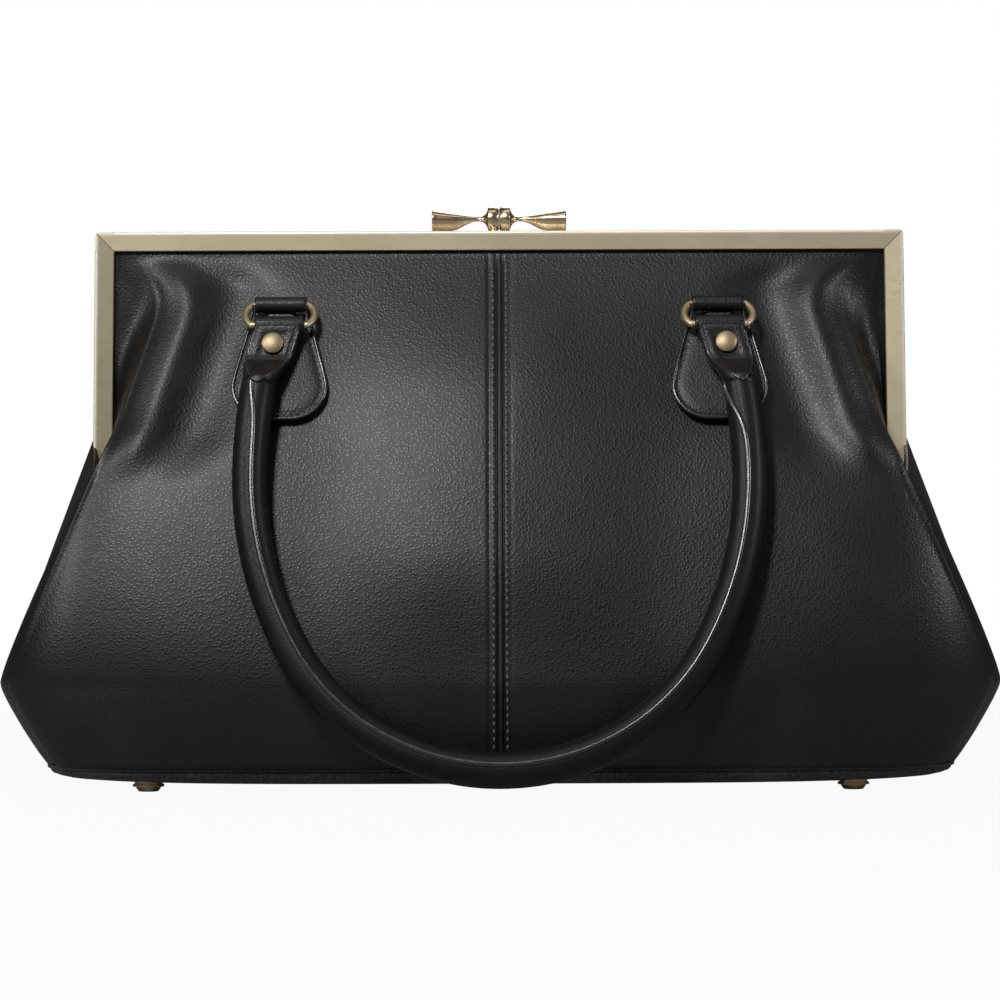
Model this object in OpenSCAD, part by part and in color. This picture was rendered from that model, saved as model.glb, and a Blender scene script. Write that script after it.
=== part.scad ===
// Structured frame handbag with a bow shaped snap clasp and two rolled handles.
// Millimetres, +Z up, origin on the ground under the middle of the bag, front towards -Y.

/* [Frame] */
// Outer width of the metal frame at its top rail
frame_w = 322; // [280:1:360]
// Height of the frame's top above the ground
frame_top = 220; // [205:1:245]
// Height of the hinge pins above the ground
hinge_z = 120; // [105:1:130]
// Width of the rail as seen from the front
face_h = 8; // [6.5:0.5:10]
// Depth of one frame half, from the parting plane to its face
rail_d = 6.8; // [6.2:0.1:9]
// Thickness of the rail's face and web
rail_wall = 1.2; // [0.8:0.1:1.4]
// Thickness of the rail's leg along the parting plane
inner_leg = 0.9; // [0.6:0.1:1]
// Gap between the two closed frame halves
parting_gap = 0.4; // [0.2:0.1:0.8]
// Outward lean of the frame's arms, in degrees
arm_splay = 0.7; // [0:0.1:1.2]
// Radius of the frame's outer corners
corner_r = 2; // [1:0.5:4]

/* [Hinge] */
// Diameter of a hinge pin
pin_d = 3; // [2.4:0.1:3.4]
// Thickness of a hinge ear
ear_t = 1.6; // [1:0.1:1.8]
// Radius of a hinge ear round its pin
ear_r = 4.6; // [3.8:0.1:5]
// Radial running clearance on pins
run_gap = 0.05; // [0.02:0.01:0.1]

/* [Clasp] */
// Length of one half of the clasp, from the middle to the end of its horn
clasp_reach = 26.4; // [20:0.2:32]
// Radius of the clasp's hub
hub_r = 4.8; // [4.2:0.1:6]
// Width of one hub
hub_w = 3.4; // [2.6:0.1:4.2]
// Radius of the horn's end
horn_r = 4.2; // [3.4:0.1:4.8]
// Radius of the clasp's neck
neck_r = 0.9; // [0.8:0.05:1.4]
// Gap between the two hubs
hub_gap = 0.8; // [0.6:0.1:1.2]
// Radius of the stem that rivets a clasp half to its rail
stem_r = 1.3; // [1:0.1:1.5]

/* [Body] */
// Greatest width of the leather body
body_w = 398; // [370:1:430]
// Height of the widest place
body_wide_z = 41; // [36:1:48]
// Greatest depth of the leather body
body_d = 124; // [110:1:140]
// Thickness of the leather
leather = 1.6; // [1:0.1:1.6]
// Thickness of the lining
lining = 0.6; // [0.4:0.1:0.7]
// Height of the cut between the standing body and the leather that moves with the frame
split_z = 128; // [126:1:134]

/* [Base] */
// Height of the seam between body and base
seam_z = 9.2; // [8.6:0.1:10]
// Height of the base leather's underside at the feet
base_z = 4.9; // [4.4:0.1:5.2]
// Thickness of the base leather
base_t = 1.2; // [1:0.1:1.3]
// Thickness of the stiffening board in the base
board_t = 2.6; // [2:0.1:2.8]
// Distance of the feet from the middle, left and right
foot_x = 137; // [120:1:142]
// Distance of the feet from the middle, front and back
foot_y = 42; // [38:1:44]
// Radius of a foot's collar
foot_r = 7; // [5:0.5:7.5]

/* [Rings and tabs] */
// Distance of the rings from the middle
ring_x = 86.3; // [75:0.1:95]
// Height of the ring bar that the bag's tab holds
ring_z = 189.9; // [184:0.1:194]
// Thickness of the ring wire
wire_d = 2.8; // [2.2:0.1:3]
// Length of the ring's straight bars
ring_bar = 21.8; // [21.4:0.1:24]
// Distance between the ring's two bars
ring_h = 12.7; // [11.5:0.1:15]
// How far each end of the ring bows outwards
ring_bow = 2.6; // [1.6:0.1:4]
// Lean of the resting ring away from the bag, in degrees from straight down
ring_rest = 49; // [40:1:60]
// Length of the tab's roll round the ring bar
roll_w = 20.4; // [16:0.1:20.6]
// Radial clearance round the ring wire inside leather
loop_gap = 0.25; // [0.15:0.05:0.4]

/* [Handles] */
// Diameter of a rolled handle
handle_d = 13.5; // [11:0.1:14]
// Distance from the ring's lower bar to the handle's lowest point, along the handle
handle_drop = 179; // [170:1:180]
// Lean of the hanging handle away from the bag, in degrees from straight down
handle_lean = 16.6; // [16:0.1:20]
// How far the handle's round part stands in front of its flat tabs
handle_offset = 5; // [4.8:0.1:6]
// Thickness of the cord core inside a handle
core_d = 8.5; // [6:0.1:9]
// Thickness of the leather tab at a handle's end
tab_t = 5.2; // [4.6:0.1:5.6]
// Radius of a rivet's head
rivet_r = 4.3; // [3.4:0.1:4.6]

/* [Hidden] */
$fn = 48;

black = [0.10, 0.10, 0.105];
lining_grey = [0.30, 0.27, 0.24];
pale_brass = [0.72, 0.67, 0.54];
dark_brass = [0.60, 0.50, 0.35];
board_brown = [0.55, 0.44, 0.30];
eps = 0.01;

// Rail section: distances from the parting plane (x) and from the rail's outer edge (y)
edge_r = 1;
lip_r = 0.4;
half_gap = parting_gap / 2;
channel_d0 = half_gap + inner_leg;
channel_d1 = rail_d - rail_wall;
arm_end_z = hinge_z + ear_r + 1.4;
arm_x = frame_w / 2 + (frame_top - hinge_z) * tan(arm_splay);
arm_inner_x = frame_w / 2 - face_h;

// Hinge ears lie side by side on the pin: the front half's outside, the back half's inside
ear_gap = 0.3;
front_ear_x = arm_x - ear_t - 0.1;
back_ear_x = front_ear_x - ear_gap - ear_t;
pin_r = pin_d / 2;
pin_head_r = 2.8;
pin_head_t = 0.9;

// Clasp
clasp_z = frame_top + hub_r + 0.2;
hub_x0 = hub_gap / 2;
hub_x1 = hub_x0 + hub_w;
neck_x = hub_x1 + hub_r - neck_r;
flare_r = hub_r - neck_r;
horn_len = clasp_reach - neck_x;
horn_rise = horn_r - neck_r;
horn_curve_r = (horn_len * horn_len + horn_rise * horn_rise) / (2 * horn_rise);
stem_x = hub_x0 + hub_w / 2;
stem_d = (channel_d0 + channel_d1) / 2;
stem_head_r = (channel_d1 - channel_d0) / 2 - 0.15;
stem_head_t = 0.9;
detent_r = 0.9;
detent_h = 0.4;

// Leather body: half sizes of its level sections, and how square their corners are
channel_leather_d = channel_d1 - 0.5;
mouth_z = frame_top - face_h - 1;
panel_z0 = seam_z + 1.1;
base_half_w = body_w / 2 - 25;
base_half_d = body_d / 2 - 5;
side_slope = (body_w / 2 - arm_x - 4) / (split_z - body_wide_z);
front_power = 1.35;

function clamp01(v) = min(max(v, 0), 1);
function front_depth(z) =
    z <= body_wide_z
    ? base_half_d + (body_d / 2 - base_half_d) * (1 - pow((body_wide_z - z) / body_wide_z, 2))
    : channel_leather_d + (body_d / 2 - channel_leather_d)
      * (1 - pow(clamp01((z - body_wide_z) / (mouth_z - body_wide_z)), front_power));
function side_reach(z) =
    z <= body_wide_z
    ? base_half_w + (body_w / 2 - base_half_w) * pow(clamp01((z - base_z) / (body_wide_z - base_z)), 0.8)
    : body_w / 2 - (z - body_wide_z) * side_slope;
function squareness(z) =
    z <= body_wide_z ? 5 - (z - base_z) / (body_wide_z - base_z)
    : 4 + 4 * (z - body_wide_z) / (split_z - body_wide_z);

// A point of a rounded rectangle with half sizes a and b, at angle t from its +X end towards -Y
function ring_point(a, b, n, t, z) =
    let (c = cos(t), s = sin(t), r = 1 / pow(pow(abs(c), n) + pow(abs(s), n), 1 / n))
    [a * r * c, -b * r * s, z];
function level(z, inset, t) =
    ring_point(side_reach(z) - inset, front_depth(z) - inset, squareness(z), t, z);

// The folds of the upper leather stand beside the arms, further in towards the top
fold_top_x = frame_w / 2 - 27;
fold_split_x = frame_w / 2 - 5;
function fold_x(z) =
    let (k = clamp01((z - split_z) / (mouth_z - split_z)))
    fold_split_x + (fold_top_x - fold_split_x) * sin(90 * min(1, 1.25 * k))
    + 10 * pow(clamp01((k - 0.75) / 0.25), 2);

// Depth of the leather's face at x and height z
function side_drop(x, z) =
    1 - pow(1 - pow(abs(x) / side_reach(z), squareness(z)), 1 / squareness(z));
function skin_drop(x, z) =
    let (w = clamp01((z - split_z) / 24))
    z <= split_z ? side_drop(x, z) : (1 - w) * side_drop(x, split_z) + w * 0.13 * pow(abs(x) / fold_x(z), 4);
function skin_depth(x, z) = front_depth(z) * (1 - skin_drop(x, z));

// Base
board_z = base_z + base_t + 0.2;
board_top = board_z + board_t;
washer_t = 0.8;
tub_z0 = board_top + washer_t + 0.4;
tub_z1 = hinge_z - ear_r - 2;
tub_inset = leather + 2.4;
foot_neck_r = 1.5;

// Rings, tabs and handles; d values are distances from the parting plane
wire_r = wire_d / 2;
bore_r = wire_r + loop_gap;
roll_r = bore_r + leather;
chape_top_d = front_depth(ring_z);
chape_low_z = ring_z - 45;
chape_lean = atan((front_depth(chape_low_z) - chape_top_d) / (ring_z - chape_low_z));
ring_d = chape_top_d + 0.6 + roll_r / cos(chape_lean);
bar2_d = ring_d + ring_h * sin(ring_rest);
bar2_z = ring_z - ring_h * cos(ring_rest);
bow_r = (ring_h * ring_h / 4 + ring_bow * ring_bow) / (2 * ring_bow);
bow_half = asin(ring_h / 2 / bow_r);
chape_neck = roll_w / 2;
chape_half = chape_neck + 8.4;
chape_len = 48.9;
chape_end_r = 14.1;
tab_roll_w = roll_w - 2.2;
tab_roll_r = bore_r + 1.9;
rivet_s = 8;

// Arcs of the handle's centre line from its lowest point up one side: [radius, start, end]
handle_arcs = [[80, 0, 30], [118, 30, 60], [125, 60, 90], [110, 90, 110]];
function arc_centre(i) =
    i == 0 ? [0, handle_arcs[0][0]]
    : arc_centre(i - 1)
      + (handle_arcs[i - 1][0] - handle_arcs[i][0])
      * [sin(handle_arcs[i][1]), -cos(handle_arcs[i][1])];
function arc_point(i, a) = arc_centre(i) + handle_arcs[i][0] * [sin(a), -cos(a)];
last_arc = len(handle_arcs) - 1;
handle_end = arc_point(last_arc, handle_arcs[last_arc][2]);
handle_end_s = handle_drop - handle_end[1];
handle_end_lean = handle_arcs[last_arc][2] - 90;

// Shared shapes

// A closed solid through level rings of equally many points, lowest ring first
module loft(rings) {
    n = len(rings[0]);
    m = len(rings);
    sides = [
        for (j = [0 : m - 2], i = [0 : n - 1])
        let (k = (i + 1) % n)
        each [
            [j * n + i, (j + 1) * n + i, j * n + k],
            [j * n + k, (j + 1) * n + i, (j + 1) * n + k]
        ]
    ];
    polyhedron(
        points = [for (r = rings, p = r) p],
        faces = concat(sides, [[for (i = [0 : n - 1]) i]], [[for (i = [n - 1 : -1 : 0]) (m - 1) * n + i]])
    );
}

// A sheet with thickness: outer and inner are grids of points, rows from the bottom up
module sheet_solid(outer, inner) {
    n = len(outer[0]);
    m = len(outer);
    o = n * m;
    function at(j, i) = j * n + i;
    skin = [
        for (j = [0 : m - 2], i = [0 : n - 2])
        each [
            [at(j, i), at(j + 1, i), at(j, i + 1)],
            [at(j, i + 1), at(j + 1, i), at(j + 1, i + 1)],
            [o + at(j, i), o + at(j, i + 1), o + at(j + 1, i)],
            [o + at(j, i + 1), o + at(j + 1, i + 1), o + at(j + 1, i)]
        ]
    ];
    ends = [
        for (j = [0 : m - 2])
        each [
            [at(j, 0), o + at(j, 0), at(j + 1, 0)],
            [at(j + 1, 0), o + at(j, 0), o + at(j + 1, 0)],
            [at(j, n - 1), at(j + 1, n - 1), o + at(j, n - 1)],
            [at(j + 1, n - 1), o + at(j + 1, n - 1), o + at(j, n - 1)]
        ]
    ];
    rims = [
        for (i = [0 : n - 2])
        each [
            [at(0, i), at(0, i + 1), o + at(0, i)],
            [at(0, i + 1), o + at(0, i + 1), o + at(0, i)],
            [at(m - 1, i), o + at(m - 1, i), at(m - 1, i + 1)],
            [at(m - 1, i + 1), o + at(m - 1, i), o + at(m - 1, i + 1)]
        ]
    ];
    polyhedron(
        points = [for (r = outer, p = r) p, for (r = inner, p = r) p],
        faces = concat(skin, ends, rims)
    );
}

module left() {
    mirror([1, 0, 0]) children();
}

module back() {
    mirror([0, 1, 0]) children();
}

// Puts a shape drawn upright, with its outside towards -Y, at a place in front of the bag
module lean_at(x, d, z, angle) {
    translate([x, -d, z]) rotate([-angle, 0, 0]) children();
}

// Frame

module rail_section() {
    difference() {
        union() {
            translate([half_gap, 0]) square([rail_d - half_gap - edge_r, face_h]);
            translate([half_gap, edge_r]) square([rail_d - half_gap, face_h - edge_r - lip_r]);
            translate([rail_d - edge_r, edge_r]) circle(edge_r);
            translate([rail_d - lip_r, face_h - lip_r]) circle(lip_r);
        }
        translate([channel_d0, rail_wall]) square([channel_d1 - channel_d0, face_h]);
        translate([half_gap - eps, face_h - lip_r]) square([channel_d1 - half_gap, face_h]);
    }
}

// The top rail runs along X and opens downwards
module top_rail() {
    translate([-frame_w / 2, 0, frame_top])
        rotate([90, 0, 90])
        linear_extrude(frame_w) rotate(180) rail_section();
}

// The right arm hangs from the frame's corner and opens towards the middle
module arm() {
    length = (frame_top - arm_end_z) / cos(arm_splay);
    translate([frame_w / 2, 0, frame_top])
        rotate([0, -arm_splay, 0])
        translate([0, 0, -length])
        linear_extrude(length) rotate(-90) mirror([0, 1]) rail_section();
}

// Ear plate and the block that closes the arm's lower end
module ear(x) {
    translate([x, 0, hinge_z]) rotate([90, 0, 90]) linear_extrude(ear_t) {
        circle(ear_r);
        translate([-rail_d, 0]) square([rail_d - half_gap, arm_end_z - hinge_z + 1]);
    }
    translate([back_ear_x, -rail_d, arm_end_z])
        cube([arm_x - back_ear_x - 0.15, rail_d - half_gap, 2.6]);
}

// The saw line across each mitred corner
module mitre_line() {
    translate([frame_w / 2, -rail_d, frame_top])
        rotate([0, 45, 0])
        translate([-face_h * 1.7, 0, 0])
        rotate([45, 0, 0])
        cube([face_h * 2.4, 0.28, 0.28], center = true);
}

module corner_cut() {
    translate([frame_w / 2 - corner_r, 0, frame_top - corner_r]) rotate([90, 0, 0]) difference() {
        cube([2 * corner_r, 2 * corner_r, 4 * rail_d], center = false);
        translate([0, 0, -1]) cylinder(r = corner_r, h = 4 * rail_d + 2);
    }
}

// One frame half, drawn as the front one; ear_x is the place of its hinge ears
module frame_rail(ear_x, stem_side) {
    difference() {
        union() {
            top_rail();
            arm();
            left() arm();
            ear(ear_x);
            left() ear(ear_x);
        }
        corner_cut();
        left() corner_cut();
        mitre_line();
        left() mitre_line();
        translate([-frame_w, 0, hinge_z]) rotate([0, 90, 0]) cylinder(r = pin_r + run_gap, h = 2 * frame_w);
        translate([stem_side * stem_x, -stem_d, frame_top - 2 * rail_wall])
            cylinder(r = stem_r + run_gap, h = 4 * rail_wall);
    }
}

module front_frame_rail() color(pale_brass) frame_rail(front_ear_x, -1);
module back_frame_rail() color(pale_brass) back() frame_rail(back_ear_x, 1);

// One pin at each lower end of the frame, headed outside and upset inside
module hinge_pin() {
    head_x = front_ear_x + ear_t + 0.1;
    tail_x = back_ear_x - 0.1 - pin_head_t;
    translate([tail_x, 0, hinge_z]) rotate([0, 90, 0]) {
        cylinder(r = pin_r, h = head_x - tail_x + eps);
        cylinder(r = pin_head_r - 0.4, h = pin_head_t);
        translate([0, 0, head_x - tail_x]) cylinder(r1 = pin_head_r, r2 = pin_head_r - 0.7, h = pin_head_t);
    }
}

module hinge_pins() color(pale_brass) {
    hinge_pin();
    left() hinge_pin();
}

// Clasp

// Half of the bow, as radius (x) against distance from the bag's middle (y)
clasp_steps = 7;
clasp_points = concat(
    [[0, hub_x0], [hub_r - 0.4, hub_x0], [hub_r, hub_x0 + 0.4], [hub_r, hub_x1]],
    [
        for (i = [1 : clasp_steps])
        let (a = 90 * i / clasp_steps)
        [neck_r + flare_r * (1 - sin(a)), hub_x1 + flare_r * (1 - cos(a))]
    ],
    [
        for (i = [1 : clasp_steps])
        let (y = horn_len * i / clasp_steps)
        [neck_r + horn_curve_r - sqrt(horn_curve_r * horn_curve_r - y * y), neck_x + y]
    ],
    [[horn_r - 0.3, clasp_reach + 0.4], [0, clasp_reach + 0.4]]
);

// side is -1 for the left half, which the front rail carries, and 1 for the right half
module clasp_half(side) {
    translate([0, 0, clasp_z]) rotate([0, side * 90, 0]) difference() {
        rotate([0, 0, 40]) rotate_extrude() polygon(clasp_points);
        if (side > 0)
            translate([-hub_r / 2, 0, hub_x0 - 0.1])
                cylinder(r1 = detent_r + 0.2, r2 = detent_r - detent_h, h = detent_h + 0.2);
    }
    if (side < 0)
        translate([-hub_x0 - 0.1, 0, clasp_z + hub_r / 2])
            rotate([0, 90, 0])
            cylinder(r1 = detent_r, r2 = detent_r - detent_h, h = detent_h + 0.1);
    translate([side * stem_x, -stem_d, frame_top - rail_wall - stem_head_t]) {
        cylinder(r = stem_r, h = rail_wall + stem_head_t + hub_r / 2);
        cylinder(r = stem_head_r, h = stem_head_t - run_gap);
    }
}

module front_clasp_half() color(dark_brass) clasp_half(-1);
module back_clasp_half() color(dark_brass) mirror([0, 1, 0]) clasp_half(1);

// Leather body

quarter_steps = 14;
panel_levels = [panel_z0, 16, 24, 33, body_wide_z, 52, 68, 88, 108, split_z];

// The right front quarter of the standing body, from the middle seam round to the side seam
module body_quarter() {
    angles = [for (i = [quarter_steps : -1 : 0]) 90 * i / quarter_steps];
    sheet_solid(
        [for (z = panel_levels) [for (t = angles) level(z, 0, t)]],
        [for (z = panel_levels) [for (t = angles) level(z, leather, t)]]
    );
}

module front_panel_right() color(black) body_quarter();
module front_panel_left() color(black) left() body_quarter();
module back_panel_right() color(black) back() body_quarter();
module back_panel_left() color(black) back() left() body_quarter();

// One level of the upper leather: across the front, over the fold and into the arm's channel
yoke_front_steps = 8;
function yoke_row(z, sink, t, channel_d) =
    let (
        in_rail = z >= mouth_z,
        fx = in_rail ? arm_inner_x - 6 : fold_x(z) - sink,
        fold_d = in_rail ? channel_d : max(skin_depth(fx, z) - sink, channel_d),
        mouth = [arm_inner_x - 1.6 - sink, -channel_d],
        dir = (mouth - [fx, -fold_d]) / norm(mouth - [fx, -fold_d]),
        inward = [-dir[1], dir[0]]
    )
    [
        for (i = [0 : yoke_front_steps])
            let (k = i / yoke_front_steps, d = in_rail ? channel_d : max(skin_depth(fx * k, z) - sink, channel_d))
            [(fx - t * (fold_d > channel_d ? 1 : 0)) * k, -(d - t), z],
        for (k = [0.35, 0.7])
            let (p = [fx, -fold_d] + k * (mouth - [fx, -fold_d]) + t * inward)
            [p[0], p[1], z],
        [mouth[0] - (in_rail ? 0 : t * 0.6), -channel_d + t, z],
        [arm_inner_x + 4.5, -channel_d + t, z]
    ];

channel_levels = [mouth_z - 0.3, mouth_z, frame_top - rail_wall - 1.4];
yoke_levels = concat([split_z + 0.3, 138, 150, 162, 174, 184, 194, 202, 207], channel_levels);

module yoke(levels, sink, t, channel_d) {
    sheet_solid(
        [for (z = levels) yoke_row(z, sink, 0, channel_d)],
        [for (z = levels) yoke_row(z, sink, t, channel_d)]
    );
}

module yoke_right() {
    yoke(yoke_levels, 0, leather, channel_leather_d);
}

module front_yoke_right() color(black) yoke_right();
module front_yoke_left() color(black) left() yoke_right();
module back_yoke_right() color(black) back() yoke_right();
module back_yoke_left() color(black) back() left() yoke_right();

// Lining: a loose bag in the standing body, and a sheet behind each upper leather
lining_sink = leather + 1.8;
lining_channel_d = channel_d0 + 0.3 + lining;
lining_levels = concat([split_z + 0.3, 138, 150, 174, 194, 207], channel_levels);

module half_lining() {
    yoke(lining_levels, lining_sink, lining, lining_channel_d);
}

module upper_lining() {
    half_lining();
    left() half_lining();
}

module front_lining() color(lining_grey) upper_lining();
module back_lining() color(lining_grey) back() upper_lining();

// A stiffening board behind the leather of each wall
wall_board_t = 1.2;
wall_board_sink = leather + 0.3;
wall_board_half = 112;
wall_board_steps = 4;
wall_board_levels = [16, 24, 33, body_wide_z, 52, 68, 88, 108, split_z, 138, 150, 162, 174, 184, 194, 202];

function board_row(z, inset) = [
    for (i = [-wall_board_steps : wall_board_steps])
    let (x = wall_board_half * i / wall_board_steps)
    [x, -skin_depth(x, z) + inset, z]
];

module wall_board() {
    sheet_solid(
        [for (z = wall_board_levels) board_row(z, wall_board_sink)],
        [for (z = wall_board_levels) board_row(z, wall_board_sink + wall_board_t)]
    );
}

module front_board() color(board_brown) wall_board();
module back_board() color(board_brown) back() wall_board();

ring_steps = 40;
function full_level(z, inset) = [for (i = [0 : ring_steps - 1]) level(z, inset, 360 * i / ring_steps)];
tub_levels = [tub_z0, 18, 28, body_wide_z, 60, 86, tub_z1];

tub_floor = tub_z0 + lining;

module lining_tub() color(lining_grey) loft(concat(
    [for (z = tub_levels) full_level(z, tub_inset)],
    [for (i = [len(tub_levels) - 1 : -1 : 1]) full_level(tub_levels[i], tub_inset + lining)],
    [full_level(tub_floor, tub_inset + lining)]
));

// A cord of twisted paper jams the leather in the channel
cord_r = 0.5;
cord_d = (channel_leather_d - leather + lining_channel_d) / 2;
cord_h = rail_wall + 2.6;

module frame_cord() {
    reach = frame_w / 2 - cord_h;
    translate([-reach, -cord_d, frame_top - cord_h]) rotate([0, 90, 0]) cylinder(r = cord_r, h = 2 * reach);
    for (side = [-1, 1]) {
        translate([side * reach, -cord_d, frame_top - cord_h]) {
            sphere(cord_r);
            rotate([0, 180 - side * arm_splay, 0]) cylinder(r = cord_r, h = frame_top - arm_end_z - cord_h - 5);
        }
    }
}

module front_frame_cord() color(board_brown) frame_cord();
module back_frame_cord() color(board_brown) back() frame_cord();

// Base

function base_ring(a, b, z) = [for (i = [0 : ring_steps - 1]) ring_point(a, b, 5, 360 * i / ring_steps, z)];

module base_panel() color(black) difference() {
    loft([
        base_ring(35, 12, base_z - 2.6),
        base_ring(75, 24, base_z - 1.6),
        base_ring(foot_x - foot_r - 10, foot_y - foot_r - 3, base_z),
        base_ring(base_half_w - 6, base_half_d - 5, base_z),
        base_ring(base_half_w - 1.4, base_half_d - 1.4, base_z + 1.8),
        base_ring(base_half_w, base_half_d, seam_z - 1.2),
        base_ring(base_half_w - leather, base_half_d - leather, seam_z - 1.2),
        base_ring(base_half_w - 1.4 - leather, base_half_d - 1.4 - leather, base_z + base_t + 1.6),
        base_ring(base_half_w - 7, base_half_d - 6, base_z + base_t)
    ]);
    foot_holes();
}

module at_feet() {
    for (x = [-1, 1], y = [-1, 1]) translate([x * foot_x, y * foot_y, 0]) children();
}

module foot_holes() {
    at_feet() translate([0, 0, base_z - 2]) cylinder(r = foot_neck_r + run_gap, h = seam_z + 4);
}

module base_board() color(board_brown) difference() {
    translate([0, 0, board_z]) linear_extrude(board_t)
        polygon([for (p = base_ring(base_half_w - 9, base_half_d - 8, 0)) [p[0], p[1]]]);
    foot_holes();
}

// Piping in the seam between body and base
welt_r = 0.95;
welt_sides = 6;

function welt_point(i) =
    ring_point(base_half_w - 0.2, base_half_d - 0.2, 5, 360 * i / ring_steps, seam_z - 0.05);

module base_welt() color(black) {
    rings = [
        for (i = [0 : ring_steps - 1])
        let (
            p = welt_point(i),
            v = welt_point(i + 1) - welt_point(i - 1),
            outward = [-v[1], v[0], 0] / norm(v)
        )
        [
            for (k = [0 : welt_sides - 1])
            let (a = 360 * (k + 0.5) / welt_sides)
            p + welt_r * (cos(a) * outward + sin(a) * [0, 0, 1])
        ]
    ];
    polyhedron(
        points = [for (r = rings, p = r) p],
        faces = [
            for (i = [0 : ring_steps - 1], k = [0 : welt_sides - 1])
            let (
                a = i * welt_sides + k,
                b = i * welt_sides + (k + 1) % welt_sides,
                c = ((i + 1) % ring_steps) * welt_sides + k,
                d = ((i + 1) % ring_steps) * welt_sides + (k + 1) % welt_sides
            )
            each [[a, b, c], [b, d, c]]
        ]
    );
}

// A turned stud: collar, two rings and a domed tip, with its neck through the base
module feet() color(dark_brass) at_feet() {
    rotate_extrude() {
        translate([0, base_z - 1]) square([foot_r, 1]);
        translate([0, base_z - 2.1]) square([foot_r - 1.6, 1.2]);
        translate([0, base_z - 3]) square([foot_r - 0.9, 0.9]);
        intersection() {
            translate([0, base_z - 1]) circle(foot_r - 1.6);
            square([foot_r, base_z - 1.5]);
        }
        square([foot_neck_r, board_top + 0.6]);
    }
}

module foot_washers() color(pale_brass) at_feet() translate([0, 0, board_top]) difference() {
    cylinder(r = 5, h = washer_t);
    translate([0, 0, -1]) cylinder(r = foot_neck_r + run_gap, h = 3);
}

// Rings and the tabs on the bag

module ring_wire() {
    for (v = [0, -ring_h]) translate([-ring_bar / 2, 0, v]) {
        rotate([0, 90, 0]) cylinder(r = wire_r, h = ring_bar);
        for (x = [0, ring_bar]) translate([x, 0, 0]) sphere(wire_r);
    }
    for (side = [0, 180])
        rotate([0, 0, side])
        translate([ring_bar / 2 + ring_bow - bow_r, 0, -ring_h / 2])
        rotate([90, 0, 0])
        rotate([0, 0, -bow_half])
        rotate_extrude(angle = 2 * bow_half) translate([bow_r, 0]) circle(wire_r);
}

module ring_right() {
    lean_at(ring_x, ring_d, ring_z, ring_rest) ring_wire();
}

module front_ring_right() color(pale_brass) ring_right();
module front_ring_left() color(pale_brass) left() ring_right();
module back_ring_right() color(pale_brass) back() ring_right();
module back_ring_left() color(pale_brass) back() left() ring_right();

// Outline of the tab below its roll: straight flanks that run into a round end
module chape_outline() {
    end_x = chape_half - chape_end_r;
    end_z = -(chape_len - chape_end_r);
    polygon([
        [-chape_neck, 0], [chape_neck, 0], [chape_half - 0.5, end_z + 4.1], [end_x, end_z],
        [-end_x, end_z], [-chape_half + 0.5, end_z + 4.1]
    ]);
    for (side = [-1, 1]) translate([side * end_x, end_z]) circle(chape_end_r);
    translate([-end_x, -chape_len]) square([2 * end_x, chape_len + end_z]);
}

module chape_right() {
    lean_at(ring_x, ring_d, ring_z, chape_lean) difference() {
        union() {
            translate([-roll_w / 2, 0, 0]) rotate([0, 90, 0]) cylinder(r = roll_r, h = roll_w);
            translate([0, roll_r, 0]) rotate([90, 0, 0]) linear_extrude(2 * leather) chape_outline();
        }
        translate([-roll_w, 0, 0]) rotate([0, 90, 0]) cylinder(r = bore_r, h = 2 * roll_w);
    }
}

module front_chape_right() color(black) chape_right();
module front_chape_left() color(black) left() chape_right();
module back_chape_right() color(black) back() chape_right();
module back_chape_left() color(black) back() left() chape_right();

// Handles, drawn in an upright plane with the origin at the middle between the lower ring bars

module in_handle_plane() {
    lean_at(0, bar2_d, bar2_z, handle_lean) children();
}

// Stations along the handle's centre line from end to end: [x, height above the lowest point, slope]
arc_steps = [4, 3, 3, 3];
handle_half = [
    for (i = [0 : last_arc], j = [0 : arc_steps[i] - 1])
    let (
        a = handle_arcs[i][1] + (handle_arcs[i][2] - handle_arcs[i][1]) * (j + 1) / arc_steps[i],
        p = arc_point(i, a)
    )
    [p[0], p[1], a]
];
handle_stations = concat(
    [for (i = [len(handle_half) - 1 : -1 : 0]) [-handle_half[i][0], handle_half[i][1], -handle_half[i][2]]],
    [[0, 0, 0]],
    handle_half
);

// Round section of radius r across the handle at one station
function handle_ring(p, r, sides) = [
    for (k = [0 : sides - 1])
    let (c = r * cos(360 * k / sides), w = r * sin(360 * k / sides) - handle_offset)
    [p[0] + c * sin(p[2]), w, p[1] - handle_drop - c * cos(p[2])]
];

// A closed bar of radius r along the handle, running over by a little at its ends where over is set
module handle_bar(r, sides, over) {
    n = len(handle_stations);
    rings = [
        for (i = [0 : n - 1])
        let (
            p = handle_stations[i],
            e = i == 0 ? -over : i == n - 1 ? over : 0
        )
        handle_ring([p[0] + e * cos(p[2]), p[1] + e * sin(p[2]), p[2]], r, sides)
    ];
    loft(rings);
}

cover_sides = 20;
core_sides = 10;

module handle_cover() {
    in_handle_plane() difference() {
        handle_bar(handle_d / 2, cover_sides, 0);
        handle_bar(core_d / 2 + 0.3, core_sides, 1);
    }
}

module handle_core() {
    in_handle_plane() handle_bar(core_d / 2, core_sides, -0.2);
}

module front_handle_cover() color(black) handle_cover();
module back_handle_cover() color(black) back() handle_cover();
module front_handle_core() color(board_brown) handle_core();
module back_handle_core() color(board_brown) back() handle_core();

// Line of the tab from the ring bar to the handle's end
tab_lean = (handle_end[0] - ring_x) / handle_end_s;
function tab_x(s) = ring_x + tab_lean * s;

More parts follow.
